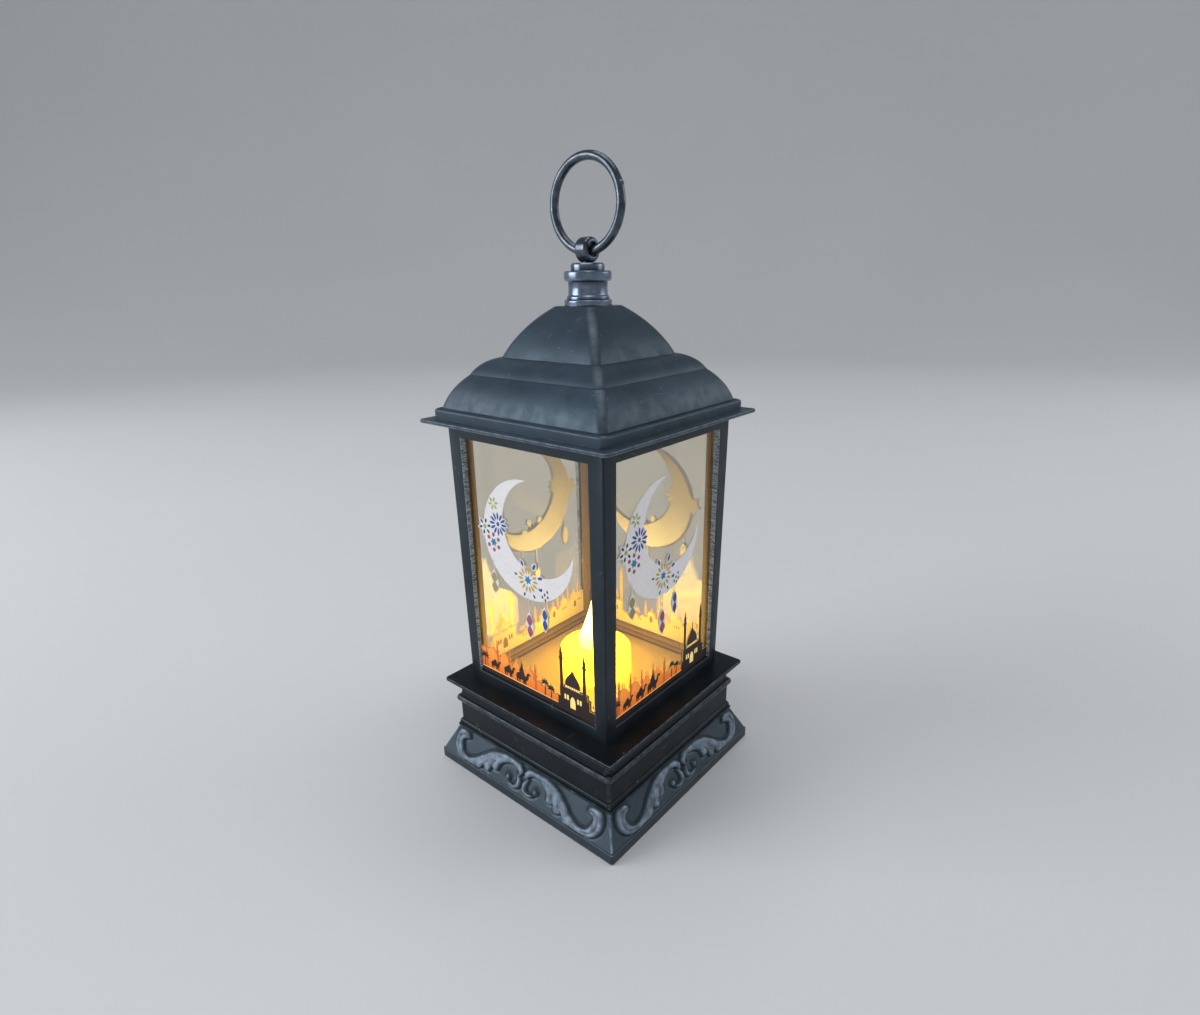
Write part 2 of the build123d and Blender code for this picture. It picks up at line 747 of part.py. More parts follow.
# Cell door and its captive screw
with BuildPart() as battery_door:
    with BuildSketch(Plane.XY.offset(plate_foot)):
        Rectangle(cell_box_length - 2 * door_gap, cell_box_width - 2 * door_gap)
    extrude(amount=plate_thickness)
    with BuildSketch(Plane.XY.offset(plate_foot)):
        with Locations((tab_place, 0)):
            Circle(tab_radius)
        with Locations(((box_right - door_gap + tab_place) / 2, 0)):
            Rectangle(tab_place - box_right + door_gap, 2 * tab_radius)
    extrude(amount=tab_thickness)
    with BuildSketch(Plane.XY.offset(plate_foot)):
        with Locations((tab_place, 0)):
            Circle(door_screw_radius + fit_gap)
    extrude(amount=tab_thickness, mode=Mode.SUBTRACT)
    tongue_span = tongue_length + door_gap + tongue_thickness
    with BuildSketch(Plane.XY.offset(plate_top)):
        with Locations((box_left + door_gap + tongue_thickness / 2, 0)):
            with GridLocations(0, cell_box_width - tongue_room, 1, 2):
                Rectangle(tongue_thickness, tongue_width)
    extrude(amount=tongue_rise + tongue_thickness)
    with BuildSketch(Plane.XY.offset(plate_top + tongue_rise)):
        with Locations((box_left + door_gap + tongue_thickness - tongue_span / 2, 0)):
            with GridLocations(0, cell_box_width - tongue_room, 1, 2):
                Rectangle(tongue_span, tongue_width)
    extrude(amount=tongue_thickness)
write(battery_door, "battery_door")

with BuildPart() as door_screw:
    with Locations((tab_place, 0, plate_foot - door_screw_head_height)):
        add(headed_screw(
            door_screw_radius, tab_thickness + door_screw_length,
            door_screw_head_radius, door_screw_head_height,
        ))
write(door_screw, "door_screw")

# Cells in a row, with a flat contact at one end and a bowed leaf at the other
with BuildPart() as button_cells:
    for place in range(cell_count):
        left_face = stack_left + place * (cell_thickness + cell_gap)
        with BuildSketch(Plane.YZ.offset(left_face)):
            with Locations((0, cell_axis)):
                Circle(cell_radius)
        extrude(amount=cell_thickness)
write(button_cells, "button_cells")

with BuildPart() as contact_plate:
    with BuildSketch(Plane.YZ.offset(box_right - contact_thickness)):
        with Locations((0, cell_axis)):
            Rectangle(contact_width, contact_width)
        with Locations((0, (cell_axis + tail_top) / 2)):
            Rectangle(contact_tail_width, tail_top - cell_axis)
    extrude(amount=contact_thickness)
write(contact_plate, "contact_plate")

leaf_bow = stack_left - box_left - contact_thickness - cell_gap
with BuildPart() as contact_leaf:
    with BuildSketch(Plane.YZ.offset(box_left)):
        with Locations((0, cell_axis)):
            Rectangle(contact_width, contact_width)
        with Locations((0, (cell_axis + tail_top) / 2)):
            Rectangle(contact_tail_width, tail_top - cell_axis)
    extrude(amount=contact_thickness)
    with BuildSketch(Plane.XZ):
        with BuildLine():
            leaf_foot = (box_left + contact_thickness, cell_axis - contact_width / 2)
            leaf_head = (box_left + contact_thickness, cell_axis + contact_width / 2)
            inner_foot = (box_left + contact_thickness, cell_axis - contact_width / 2 + contact_thickness)
            inner_head = (box_left + contact_thickness, cell_axis + contact_width / 2 - contact_thickness)
            SagittaArc(leaf_foot, leaf_head, -leaf_bow)
            SagittaArc(inner_foot, inner_head, -(leaf_bow - contact_thickness))
            Line(leaf_foot, inner_foot)
            Line(leaf_head, inner_head)
        make_face()
    extrude(amount=contact_tail_width, both=True)
write(contact_leaf, "contact_leaf")

# Slide switch
carrier_room = carrier_length + switch_travel + 4 * fit_gap
with BuildPart() as switch_body:
    with BuildSketch(Plane.XY.offset(plate_top)):
        with Locations((-switch_travel / 2, switch_place)):
            Rectangle(switch_length, switch_width)
    extrude(amount=switch_height)
    with BuildSketch(Plane.XY.offset(plate_top)):
        with Locations((-switch_travel / 2, switch_place)):
            Rectangle(carrier_room, switch_width - 2 * switch_wall)
    extrude(amount=carrier_height + 2 * fit_gap, mode=Mode.SUBTRACT)
    with BuildSketch(Plane.XY.offset(plate_top + switch_height)):
        with Locations((-switch_travel / 2, switch_place)):
            with GridLocations(terminal_spacing, 0, 3, 1):
                Rectangle(terminal_width, terminal_thickness)
    extrude(amount=terminal_length)
write(switch_body, "switch_body")

with BuildPart() as switch_knob:
    with BuildSketch(Plane.XY.offset(plate_top + fit_gap)):
        with Locations((0, switch_place)):
            Rectangle(carrier_length, switch_width - 2 * switch_wall - 2 * fit_gap)
    extrude(amount=carrier_height)
    with BuildSketch(Plane.XY.offset(plate_foot - knob_proud)):
        with Locations((0, switch_place)):
            Rectangle(knob_length, knob_width)
    extrude(amount=plate_top + fit_gap - plate_foot + knob_proud)
write(switch_knob, "switch_knob")

# Wires: lamp to flat contact, lamp to switch, and leaf to switch
lead_place = lead_spacing / 2
terminal_top = plate_top + switch_height + terminal_length
terminal_middle = -switch_travel / 2
terminal_left = terminal_middle - terminal_spacing
flat_tail = box_right - contact_thickness / 2
leaf_tail = box_left + contact_thickness / 2
wire_routes = [
    [
        (lead_place, 0, lead_foot), (lead_place, 0, wire_level),
        (flat_tail, 0, wire_level), (flat_tail, 0, tail_top),
    ],
    [
        (-lead_place, 0, lead_foot), (-lead_place, 0, wire_level),
        (terminal_middle, switch_place, wire_level), (terminal_middle, switch_place, terminal_top),
    ],
    [
        (leaf_tail, 0, tail_top), (leaf_tail, 0, wire_level),
        (terminal_left, switch_place, wire_level), (terminal_left, switch_place, terminal_top),
    ],
]
with BuildPart() as hook_up_wires:
    for route_points in wire_routes:
        add(tube_along(route_points))
write(hook_up_wires, "hook_up_wires")
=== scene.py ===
import math

import bmesh
import bpy
import numpy as np
from mathutils import Matrix, Vector
from mathutils.geometry import tessellate_polygon


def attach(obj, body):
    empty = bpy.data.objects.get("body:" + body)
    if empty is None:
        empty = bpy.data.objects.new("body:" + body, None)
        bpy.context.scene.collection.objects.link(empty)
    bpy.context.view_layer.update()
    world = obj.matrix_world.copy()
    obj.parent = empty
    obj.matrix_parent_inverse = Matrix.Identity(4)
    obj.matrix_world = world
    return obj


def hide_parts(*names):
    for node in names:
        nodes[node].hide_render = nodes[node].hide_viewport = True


# Looks of a small square lantern with an electric candle. Lengths are in millimetres until a mesh is made.
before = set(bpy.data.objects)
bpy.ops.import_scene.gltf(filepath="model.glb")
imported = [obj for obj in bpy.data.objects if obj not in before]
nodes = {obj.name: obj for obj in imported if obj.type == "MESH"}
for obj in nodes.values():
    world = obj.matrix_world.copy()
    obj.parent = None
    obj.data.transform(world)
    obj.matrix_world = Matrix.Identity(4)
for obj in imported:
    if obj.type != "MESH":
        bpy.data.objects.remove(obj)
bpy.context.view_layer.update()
scene = bpy.context.scene
MM = 0.001

# Sizes repeated from the part's source
FLOOR_TOP = 22.45
WINDOW_FOOT, WINDOW_HEAD, WINDOW_HALF = 25.3, 82.15, 18.0
FRAME_FOOT_HALF, FRAME_LEAN = 21.2, 0.7 / 62.9
PANEL_OUT, PANEL_IN = 20.4, 19.4
EAVE_FOOT, EAVE_TOP = 85.35, 86.05
ROOF_FOOT, ROOF_TOP, ROOF_CEILING = 88.3, 108.7, 107.5
CANDLE_RADIUS, CANDLE_TOP = 8.2, 29.95
FLAME_BORE, FLAME_TIP = 2.8, 42.35
LAMP_FOOT, LAMP_TOP = 22.0, 36.0
RING_CENTRE, RING_RADIUS, RING_WIRE = 128.09, 8.82, 0.92
PLINTH_HALF, PLINTH_TOP_HALF = 27.6, 24.3
LIP_TOP, PLINTH_TOP = 2.5, 8.9
SCREW_PLACE = 18.4

# Materials


class Finish:
    """A procedural material: a Principled shader fed by chains of nodes, in millimetres of the part."""

    def __init__(self, name):
        self.material = bpy.data.materials.new(name)
        self.material.use_nodes = True
        self.tree = self.material.node_tree
        self.shader = self.tree.nodes["Principled BSDF"]
        self.place = self.node("ShaderNodeTexCoord").outputs["Object"]
        self.place = self.stretched((1 / MM,) * 3)

    def node(self, kind, inputs=None, **settings):
        made = self.tree.nodes.new(kind)
        for key, value in settings.items():
            setattr(made, key, value)
        for key, value in (inputs or {}).items():
            self.feed(made.inputs[key], value)
        return made

    def feed(self, socket, value):
        if isinstance(value, bpy.types.NodeSocket):
            self.tree.links.new(value, socket)
        else:
            socket.default_value = (*value, 1.0) if socket.type == "RGBA" else value

    def noise(self, scale, detail=3.0, rough=0.55, place=None):
        inputs = {"Vector": place or self.place, "Scale": scale, "Detail": detail, "Roughness": rough}
        return self.node("ShaderNodeTexNoise", inputs).outputs["Fac"]

    def stretched(self, scales):
        return self.node("ShaderNodeVectorMath", {0: self.place, 1: scales}, operation="MULTIPLY").outputs[0]

    def ramp(self, fac, low, high, to=(0.0, 1.0)):
        ends = {0: fac, 1: low, 2: high, 3: to[0], 4: to[1]}
        return self.node("ShaderNodeMapRange", ends, interpolation_type="SMOOTHSTEP").outputs[0]

    def sums(self, operation, first, second):
        return self.node("ShaderNodeMath", {0: first, 1: second}, operation=operation).outputs[0]

    def blend(self, fac, first, second):
        return self.node("ShaderNodeMix", {0: fac, 6: first, 7: second}, data_type="RGBA").outputs[2]

    def away(self, value, level):
        """Distance of a value from a level."""
        return self.sums("ABSOLUTE", self.sums("SUBTRACT", value, level), 0.0)

    def mark(self, name):
        """A mark that a mesh carries: wear and painted highlight, painted shade in creases, window sides for
        painted glints, or inner faces for painted candle light.
        """
        return self.node("ShaderNodeAttribute", attribute_name=name).outputs["Fac"]

    def height(self):
        return self.node("ShaderNodeSeparateXYZ", {0: self.place}).outputs[2]

    def specks(self, scale, size, share):
        """Round specks, one here and there: dust or pits."""
        cells = self.node("ShaderNodeTexVoronoi", {"Vector": self.place, "Scale": scale})
        dot = self.ramp(cells.outputs["Distance"], size, size * 0.4)
        chosen = self.node("ShaderNodeSeparateColor", {0: cells.outputs["Color"]}).outputs[0]
        return self.sums("MULTIPLY", dot, self.ramp(chosen, 1 - share, 1 - share * 0.8))

    def scratches(self):
        """Sparse hair lines: thin level bands of a smooth noise, broken up by another."""
        level = self.noise(0.11, 1.0, 0.4, self.stretched((1.6, 0.7, 1.1)))
        lines = self.ramp(self.away(level, 0.52), 0.004, 0.001)
        return self.sums("MULTIPLY", lines, self.ramp(self.noise(0.35, 3.0), 0.56, 0.66, (0.0, 0.5)))

    def bumps(self, *layers):
        """Stacked bumps, each a height and its depth in millimetres."""
        normal = None
        for height, depth in layers:
            made = self.node("ShaderNodeBump", {"Height": height, "Distance": depth * MM, "Strength": 1.0})
            if normal is not None:
                self.feed(made.inputs["Normal"], normal)
            normal = made.outputs["Normal"]
        self.feed(self.shader.inputs["Normal"], normal)

    def set(self, **values):
        for key, value in values.items():
            self.feed(self.shader.inputs[key.replace("_", " ")], value)


COOL_GLOSS = (0.62, 0.84, 1.0)
# Tones of wear and painted highlight, of dust, and of the frame's painted glints
WORN_AND_HIGHLIGHT_TONE, DUST_TONE, GLINT_TONE = (0.17, 0.195, 0.225), (0.3, 0.32, 0.34), (0.62, 0.7, 0.8)
# Painted candle light on the frame's inner faces, and heights of two dark lines of painted shade in its rail
PAINTED_CANDLE_TONE = (0.17, 0.108, 0.036)
RAIL_SHADE_LINES, LINE_CORE, LINE_EDGE = (23.1, 24.35), 0.14, 0.3
PLASTIC_IOR, ACRYLIC_IOR = 1.47, 1.49


def black_plastic(name, dark, light, rough, gloss=0.4, dust=0.05, worn_and_highlight_tone=WORN_AND_HIGHLIGHT_TONE, frame_painted_light=False):
    """Satin moulded plastic: cloudy tone, fine grain, dust, pale arrises of wear and painted highlight, and
    creases darkened with painted shade.

    For the frame it also paints glints as silver streaks on the window sides, and warm candle light on its
    inner faces with two dark lines of painted shade for fine grooves.
    """
    made = Finish(name)
    colour = made.blend(made.ramp(made.noise(0.09, 4.0), 0.35, 0.68), dark, light)
    scuffs = made.noise(0.6, 5.0, 0.7, made.stretched((0.35, 1.7, 0.9)))
    colour = made.blend(made.ramp(scuffs, 0.62, 0.8, (0.0, 0.35)), colour, tuple(c * 2.2 for c in light))
    patches = made.ramp(made.noise(0.5, 4.0, 0.65), 0.36, 0.68, (0.25, 1.0))
    # Pale patches of wear and painted highlight where the mesh is marked
    colour = made.blend(made.sums("MULTIPLY", made.mark("wear_and_highlight"), patches), colour, worn_and_highlight_tone)
    # Painted shade in creases, in the tier's cove, on the plinth's lip and in the moat round the carving
    colour = made.blend(made.mark("crease_shade"), colour, tuple(c * 0.25 for c in dark))
    specks = made.specks(0.75, 0.1, dust)
    colour = made.blend(made.sums("MAXIMUM", specks, made.scratches()), colour, DUST_TONE)
    if frame_painted_light:
        # Painted candle light on the inner faces, with two dark lines of painted shade for fine grooves in
        # the rail
        lines = made.sums("MAXIMUM", *(
            made.ramp(made.away(made.height(), z), LINE_CORE, LINE_EDGE, (0.9, 0.0)) for z in RAIL_SHADE_LINES
        ))
        inner = made.blend(lines, PAINTED_CANDLE_TONE, tuple(c * 0.1 for c in PAINTED_CANDLE_TONE))
        colour = made.blend(made.mark("inside"), colour, inner)
        # Painted glints: silver streaks on the window sides
        streaks = made.noise(1.3, 4.0, 0.8, made.stretched((0.7, 0.7, 3.0)))
        glitter = made.ramp(streaks, 0.38, 0.62, (0.06, 0.95))
        colour = made.blend(made.sums("MULTIPLY", made.mark("reveal"), glitter), colour, GLINT_TONE)
    grain = made.noise(7.0, 3.0, 0.6)
    waves = made.noise(0.13, 2.0, 0.4)
    roughness = made.ramp(made.noise(0.35, 5.0, 0.6), 0.3, 0.7, (rough - 0.06, rough + 0.08))
    made.bumps((waves, 0.08), (grain, 0.006), (specks, 0.03))
    made.set(
        Base_Color=colour, Roughness=roughness, Specular_IOR_Level=gloss, Specular_Tint=COOL_GLOSS,
        IOR=PLASTIC_IOR,
    )
    return made.material


BODY_DARK, BODY_LIGHT = (0.0045, 0.0055, 0.007), (0.0085, 0.0105, 0.013)
body_black = black_plastic("black_plastic", BODY_DARK, BODY_LIGHT, 0.33, 0.26)
# The frame, roof and plinth take lighter, bluer copies of the black plastic: painted light where lamps fall
frame_black_lit_copy = black_plastic(
    "frame_plastic_lit_copy", (0.009, 0.0115, 0.015), (0.016, 0.02, 0.025), 0.38, 0.42, frame_painted_light=True,
)
roof_black_lit_copy = black_plastic(
    "roof_plastic_lit_copy", (0.015, 0.027, 0.042), (0.026, 0.044, 0.066), 0.44, 0.6, dust=0.13,
)
plinth_black_lit_copy = black_plastic(
    "plinth_plastic_lit_copy", (0.026, 0.036, 0.048), (0.042, 0.055, 0.072), 0.38, 0.6, worn_and_highlight_tone=(0.3, 0.37, 0.46),
)
switch_plastic = black_plastic(
    "switch_plastic", (0.01, 0.01, 0.011), (0.02, 0.02, 0.021), 0.3, dust=0.02,
)


def metal(name, dark, light, rough, metallic, lines=(0.4, 0.4, 3.0), grain=0.004):
    """Plated or painted metal: cloudy tone, faint drawn lines and small pits."""
    made = Finish(name)
    drawn = made.noise(2.5, 4.0, 0.7, made.stretched(lines))
    colour = made.blend(made.ramp(made.noise(0.5, 4.0), 0.35, 0.68), dark, light)
    pits = made.specks(1.3, 0.12, 0.1)
    colour = made.blend(pits, colour, tuple(c * 0.5 for c in dark))
    # Pale marks of wear and painted highlight that the mesh carries
    worn_and_highlit = made.sums("MULTIPLY", made.mark("wear_and_highlight"), made.ramp(made.noise(0.9, 3.0), 0.4, 0.65, (0.3, 0.9)))
    colour = made.blend(worn_and_highlit, colour, tuple(min(c * 2.6, 0.8) for c in light))
    # Painted shade in the finial's grooves
    colour = made.blend(made.mark("crease_shade"), colour, tuple(c * 0.15 for c in dark))
    made.bumps((drawn, grain), (pits, -0.02))
    roughness = made.ramp(drawn, 0.3, 0.7, (rough - 0.05, rough + 0.08))
    made.set(Base_Color=colour, Metallic=metallic, Roughness=roughness)
    return made.material


finial_grey = metal(
    "finial_grey", (0.15, 0.195, 0.265), (0.23, 0.285, 0.37), 0.2, 0.8, (0.3, 0.3, 5.0), 0.006,
)
gunmetal = metal("gunmetal", (0.055, 0.068, 0.085), (0.1, 0.12, 0.146), 0.22, 0.8)
steel = metal("steel", (0.42, 0.42, 0.43), (0.6, 0.6, 0.61), 0.3, 1.0)
cell_can = metal("cell_can", (0.55, 0.55, 0.55), (0.72, 0.72, 0.71), 0.24, 1.0)


def clear_sheet():
    """Clear acrylic with faint wiped smears and dust, tinted warm grey: painted shade and candle warmth over
    what shows through it.
    """
    made = Finish("clear_acrylic")
    smear = made.noise(0.12, 4.0, 0.6, made.stretched((1.0, 1.0, 0.45)))
    specks = made.specks(0.5, 0.06, 0.1)
    made.bumps((made.noise(0.05, 1.0), 0.02), (specks, 0.01))
    # The warm grey tint paints shade and candle warmth over what shows through
    made.set(
        Base_Color=made.blend(specks, (0.86, 0.815, 0.725), (0.68, 0.65, 0.59)),
        Roughness=made.ramp(smear, 0.52, 0.78, (0.012, 0.06)), Transmission_Weight=1.0, IOR=ACRYLIC_IOR,
        Specular_IOR_Level=0.4,
    )
    return made.material


clear_acrylic = clear_sheet()


TONE_FOOT, TONE_HEAD = 25.5, 31.5


def ink(name, colour, glow=0.0, mottle=0.14, low=None):
    """Screen-printed ink, a little uneven, and between two tones up the skyline if a low one is given.
    A glow, where given, is painted candle light through the print.
    """
    made = Finish(name)
    tone = colour
    if low is not None:
        tone = made.blend(made.ramp(made.height(), TONE_FOOT, TONE_HEAD), low, colour)
    uneven = made.ramp(made.noise(1.6, 4.0, 0.65), 0.35, 0.7, (0.0, mottle))
    tone = made.blend(uneven, tone, (0.0, 0.0, 0.0))
    made.bumps((made.noise(9.0, 2.0), 0.003))
    made.set(Base_Color=tone, Roughness=0.5)
    if glow:
        made.set(Emission_Color=tone, Emission_Strength=glow)
    return made.material


def lit_plastic(name, low, high, low_z, high_z, strength, base):
    """Translucent plastic with a lamp inside, from one tone at its foot to another at its head."""
    made = Finish(name)
    tone = made.blend(made.ramp(made.height(), low_z, high_z), low, high)
    cloudy = made.ramp(made.noise(0.45, 3.0), 0.3, 0.75, (0.0, 0.3))
    tone = made.blend(cloudy, tone, tuple(c * 0.8 for c in low))
    made.bumps((made.noise(0.5, 2.0), 0.05), (made.noise(6.0, 2.0), 0.004))
    made.set(Base_Color=base, Roughness=0.42, Emission_Color=tone, Emission_Strength=strength)
    return made.material


candle_lit = lit_plastic(
    "candle_lit", (1.0, 0.5, 0.004), (1.0, 0.64, 0.006), FLOOR_TOP, CANDLE_TOP, 12.0, (0.5, 0.38, 0.05),
)
flame_lit = lit_plastic(
    "flame_lit", (1.0, 0.62, 0.05), (1.0, 0.82, 0.2), CANDLE_TOP, CANDLE_TOP + 7.0, 10.0, (0.8, 0.65, 0.35),
)
lamp_lit = lit_plastic(
    "lamp_lit", (1.0, 0.7, 0.3), (1.0, 0.85, 0.6), LAMP_FOOT, LAMP_TOP, 4.0, (0.9, 0.85, 0.7),
)


def card():
    """Tan card with a waxed face and short fibres."""
    made = Finish("tan_card")
    fibres = made.noise(1.8, 5.0, 0.7, made.stretched((0.5, 1.9, 1.0)))
    colour = made.blend(made.ramp(fibres, 0.3, 0.75), (0.56, 0.41, 0.19), (0.44, 0.31, 0.13))
    colour = made.blend(made.specks(0.6, 0.12, 0.15), colour, (0.25, 0.17, 0.09))
    made.bumps((fibres, 0.012))
    made.set(Base_Color=colour, Roughness=made.ramp(fibres, 0.3, 0.7, (0.14, 0.24)))
    return made.material


tan_card = card()


def wire_skin():
    """Wire insulation in two tones that change along the wires."""
    made = Finish("wire_skin")
    tone = made.ramp(made.noise(0.2, 2.0), 0.45, 0.55)
    made.bumps((made.noise(2.0, 2.0), 0.01))
    made.set(Base_Color=made.blend(tone, (0.32, 0.02, 0.02), (0.02, 0.02, 0.022)), Roughness=0.45)
    return made.material


wire_pvc = wire_skin()

# Mesh helpers


def meshed(name, verts, faces, smooth=True):
    mesh = bpy.data.meshes.new(name)
    mesh.from_pydata(verts, [], faces)
    mesh.update()
    mesh.polygons.foreach_set("use_smooth", [smooth] * len(mesh.polygons))
    return mesh


def piece(name, verts, faces, body, material, slot=None, stands_for=(), marks=None, smooth=True):
    """A mesh piece in the part's frame, from points in millimetres."""
    mesh = meshed(name, [tuple(c * MM for c in v) for v in verts], faces, smooth)
    for key, values in (marks or {}).items():
        mesh.attributes.new(key, "FLOAT", "POINT").data.foreach_set("value", np.asarray(values, np.float32))
    return placed(name, mesh, body, material, stands_for)


def placed(name, mesh, body, material, stands_for=()):
    made = bpy.data.objects.new(name, mesh)
    scene.collection.objects.link(made)
    made.data.materials.append(material)
    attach(made, body)
    if stands_for:
        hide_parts(*stands_for)
    return made


def around(centre, radius, angles):
    """Points on a circle."""
    return [(centre[0] + radius * math.cos(a), centre[1] + radius * math.sin(a)) for a in angles]


def skin(rows, closed=True):
    """Faces between rows of point numbers that run round, from row to row and back to the first."""
    faces = []
    for low, high in zip(rows, rows[1:] + rows[:1] if closed else rows[1:]):
        for step in range(len(low)):
            after = (step + 1) % len(low)
            face = tuple(dict.fromkeys((low[step], low[after], high[after], high[step])))
            if len(face) > 2:
                faces.append(face)
    return faces


def arc(start, end, sag, steps):
    """Points between start and end on an arc that bulges by sag to the right of its way."""
    (px, pz), (qx, qz) = start, end
    chord = math.hypot(qx - px, qz - pz)
    side = 1 if sag > 0 else -1
    radius = (chord * chord / 4 + sag * sag) / (2 * abs(sag))
    back = side * (radius - abs(sag)) / chord
    cx, cz = (px + qx) / 2 - back * (qz - pz), (pz + qz) / 2 + back * (qx - px)
    first = math.atan2(pz - cz, px - cx)
    sweep = (math.atan2(qz - cz, qx - cx) - first + math.pi) % (2 * math.pi) - math.pi
    return around((cx, cz), radius, [first + sweep * step / steps for step in range(1, steps)])


# Shares of an edge that a rounding and its plain margin may take
MOST_CUT, MOST_MARGIN = 0.38, 0.46


def rounded(corners, arc_steps=14, round_steps=4, margin=0.14):
    """Closed outline from corners (half, z, rounding, bulge to the next, corner radius, and a mark of wear
    and painted highlight if any).

    It gives rows of (half, z, mark, corner radius). A mark above zero is wear and painted highlight on a
    convex edge, and below zero painted shade in a crease.
    """
    plain = []
    for index, (half, z, turn, sag, corner, *worn_and_highlit) in enumerate(corners):
        plain.append((half, z, turn, corner, sum(worn_and_highlit)))
        if sag:
            after = corners[(index + 1) % len(corners)]
            plain += [(x, y, 0, corner, 0.0) for x, y in arc((half, z), after[:2], sag, arc_steps)]
    made = []
    for index, (half, z, turn, corner, worn_and_highlit) in enumerate(plain):
        if not turn:
            made.append((half, z, 0.0, corner))
            continue
        here = Vector((half, z))
        come = here - Vector(plain[index - 1][:2])
        go = Vector(plain[(index + 1) % len(plain)][:2]) - here
        lengths = come.length, go.length
        come.normalize()
        go.normalize()
        bend = math.atan2(come.x * go.y - come.y * go.x, come.dot(go))
        cut = min(turn * math.tan(abs(bend) / 2), MOST_CUT * lengths[0], MOST_CUT * lengths[1])
        # Convex corners carry wear and painted highlight, concave ones painted shade
        mark = worn_and_highlit if bend > 0 else -1.0
        near = here - come * min(cut + margin, MOST_MARGIN * lengths[0])
        far = here + go * min(cut + margin, MOST_MARGIN * lengths[1])
        made.append((near.x, near.y, 0.0, corner))
        for step in range(round_steps + 1):
            t = step / round_steps
            spot = here + (1 - t) ** 2 * -cut * come + t * t * cut * go
            made.append((spot.x, spot.y, mark, corner))
        made.append((far.x, far.y, 0.0, corner))
    return made


# A row steeper than this shows a corner arris with wear and a painted highlight
LEAST_CLIMB = 0.25
# The plinth's slope, along whose normal carving lifts, and the painted highlight and shade that it brings
SLOPE_RUN, SLOPE_RISE = PLINTH_HALF - PLINTH_TOP_HALF, PLINTH_TOP - LIP_TOP
SLOPE = math.hypot(SLOPE_RUN, SLOPE_RISE)
CARVED_HIGHLIGHT, CARVED_SHOULDER, MOAT_DEPTH = 0.85, 0.34, 0.16


def square_loft(path, cuts=8, arc_steps=6, ridge=0.5, margin=0.3, carve=None):
    """Square ring body along a closed outline: points, faces and marks. Carving lifts points of some rows."""
    verts, wear_and_highlight, crease_shade = [], [], []
    for row, (half, z, mark, corner) in enumerate(path):
        corner = min(corner, half)
        flat = half - corner
        inner = max(flat - margin, 0.0)
        along = [-flat] + [inner * (2 * step / cuts - 1) for step in range(cuts + 1)] + [flat]
        lifts = carve(row, along) if carve else None
        before, after = path[row - 1], path[(row + 1) % len(path)]
        climbs = abs(after[1] - before[1]) > LEAST_CLIMB * abs(after[0] - before[0])
        quarter = []
        for index, x in enumerate(along):
            tall = lifts[index] if lifts is not None else 0.0
            quarter.append((
                x, -half - tall * SLOPE_RISE / SLOPE, z + tall * SLOPE_RUN / SLOPE,
                # Crowns of the carving get a painted highlight, and its moat painted shade
                max(mark, CARVED_HIGHLIGHT * min(max(tall - CARVED_SHOULDER, 0.0) / CARVED_SHOULDER, 1.0), 0.0),
                max(-mark, min(max(-tall, 0.0) / MOAT_DEPTH, 1.0)),
            ))
        for step in range(1, arc_steps):
            angle = math.pi / 2 * (step / arc_steps - 1)
            # Upright arrises get a pale mark of wear and painted highlight
            arris = ridge * math.sin(math.pi * step / arc_steps) if climbs and corner < half else 0.0
            quarter.append((
                flat + corner * math.cos(angle), -flat + corner * math.sin(angle), z,
                max(mark, arris if mark >= 0 else 0.0, 0.0), max(-mark, 0.0),
            ))
        for c, s in ((1, 0), (0, 1), (-1, 0), (0, -1)):
            for x, y, height, worn_and_highlit, dark in quarter:
                verts.append((c * x - s * y, s * x + c * y, height))
                wear_and_highlight.append(worn_and_highlit)
                crease_shade.append(dark)
    count = 4 * (cuts + 2 + arc_steps)
    faces = skin([range(row * count, (row + 1) * count) for row in range(len(path))])
    return verts, faces, {"wear_and_highlight": wear_and_highlight, "crease_shade": crease_shade}


def toned(path, tones):
    """The outline with a mark on its plain points in given bands (low, high, least half, mark)."""
    made = []
    for half, z, mark, corner in path:
        for low, high, least, tone in tones:
            if low < z < high and half > least and not mark:
                mark = tone
        made.append((half, z, mark, corner))
    return made


def square_piece(name, corners, material, node, ridge, arc_steps=6, extra=(), tones=()):
    """Square moulding of black plastic that stands for a solid, with further points and faces if given."""
    verts, faces, marks = square_loft(toned(rounded(corners), tones), arc_steps=arc_steps, ridge=ridge)
    for more_verts, more_faces in extra:
        base = len(verts)
        verts += more_verts
        faces += [tuple(base + i for i in face) for face in more_faces]
        for values in marks.values():
            values += [0.0] * len(more_verts)
    piece(name, verts, faces, "lantern", material, "black_plastic", (node,), marks)


NO_RADIUS = 1e-6


def lathed(path, steps=72, centre=(0.0, 0.0), closed=True):
    """Body of revolution about +Z along (radius, z) points: points and faces. Zero radii close it."""
    verts, rows = [], []
    angles = [2 * math.pi * step / steps for step in range(steps)]
    for radius, z in path:
        if radius < NO_RADIUS:
            rows.append([len(verts)] * steps)
            verts.append((*centre, z))
            continue
        rows.append(range(len(verts), len(verts) + steps))
        verts += [(x, y, z) for x, y in around(centre, radius, angles)]
    return verts, skin(rows, closed)


SAME_POINT, FLAT_ANGLE, SHARP_ANGLE = 2e-7, math.radians(0.4), math.radians(32)


def hard_edges(work, angle):
    least = math.radians(angle)
    return [e for e in work.edges if len(e.link_faces) == 2 and e.calc_face_angle(0.0) > least]


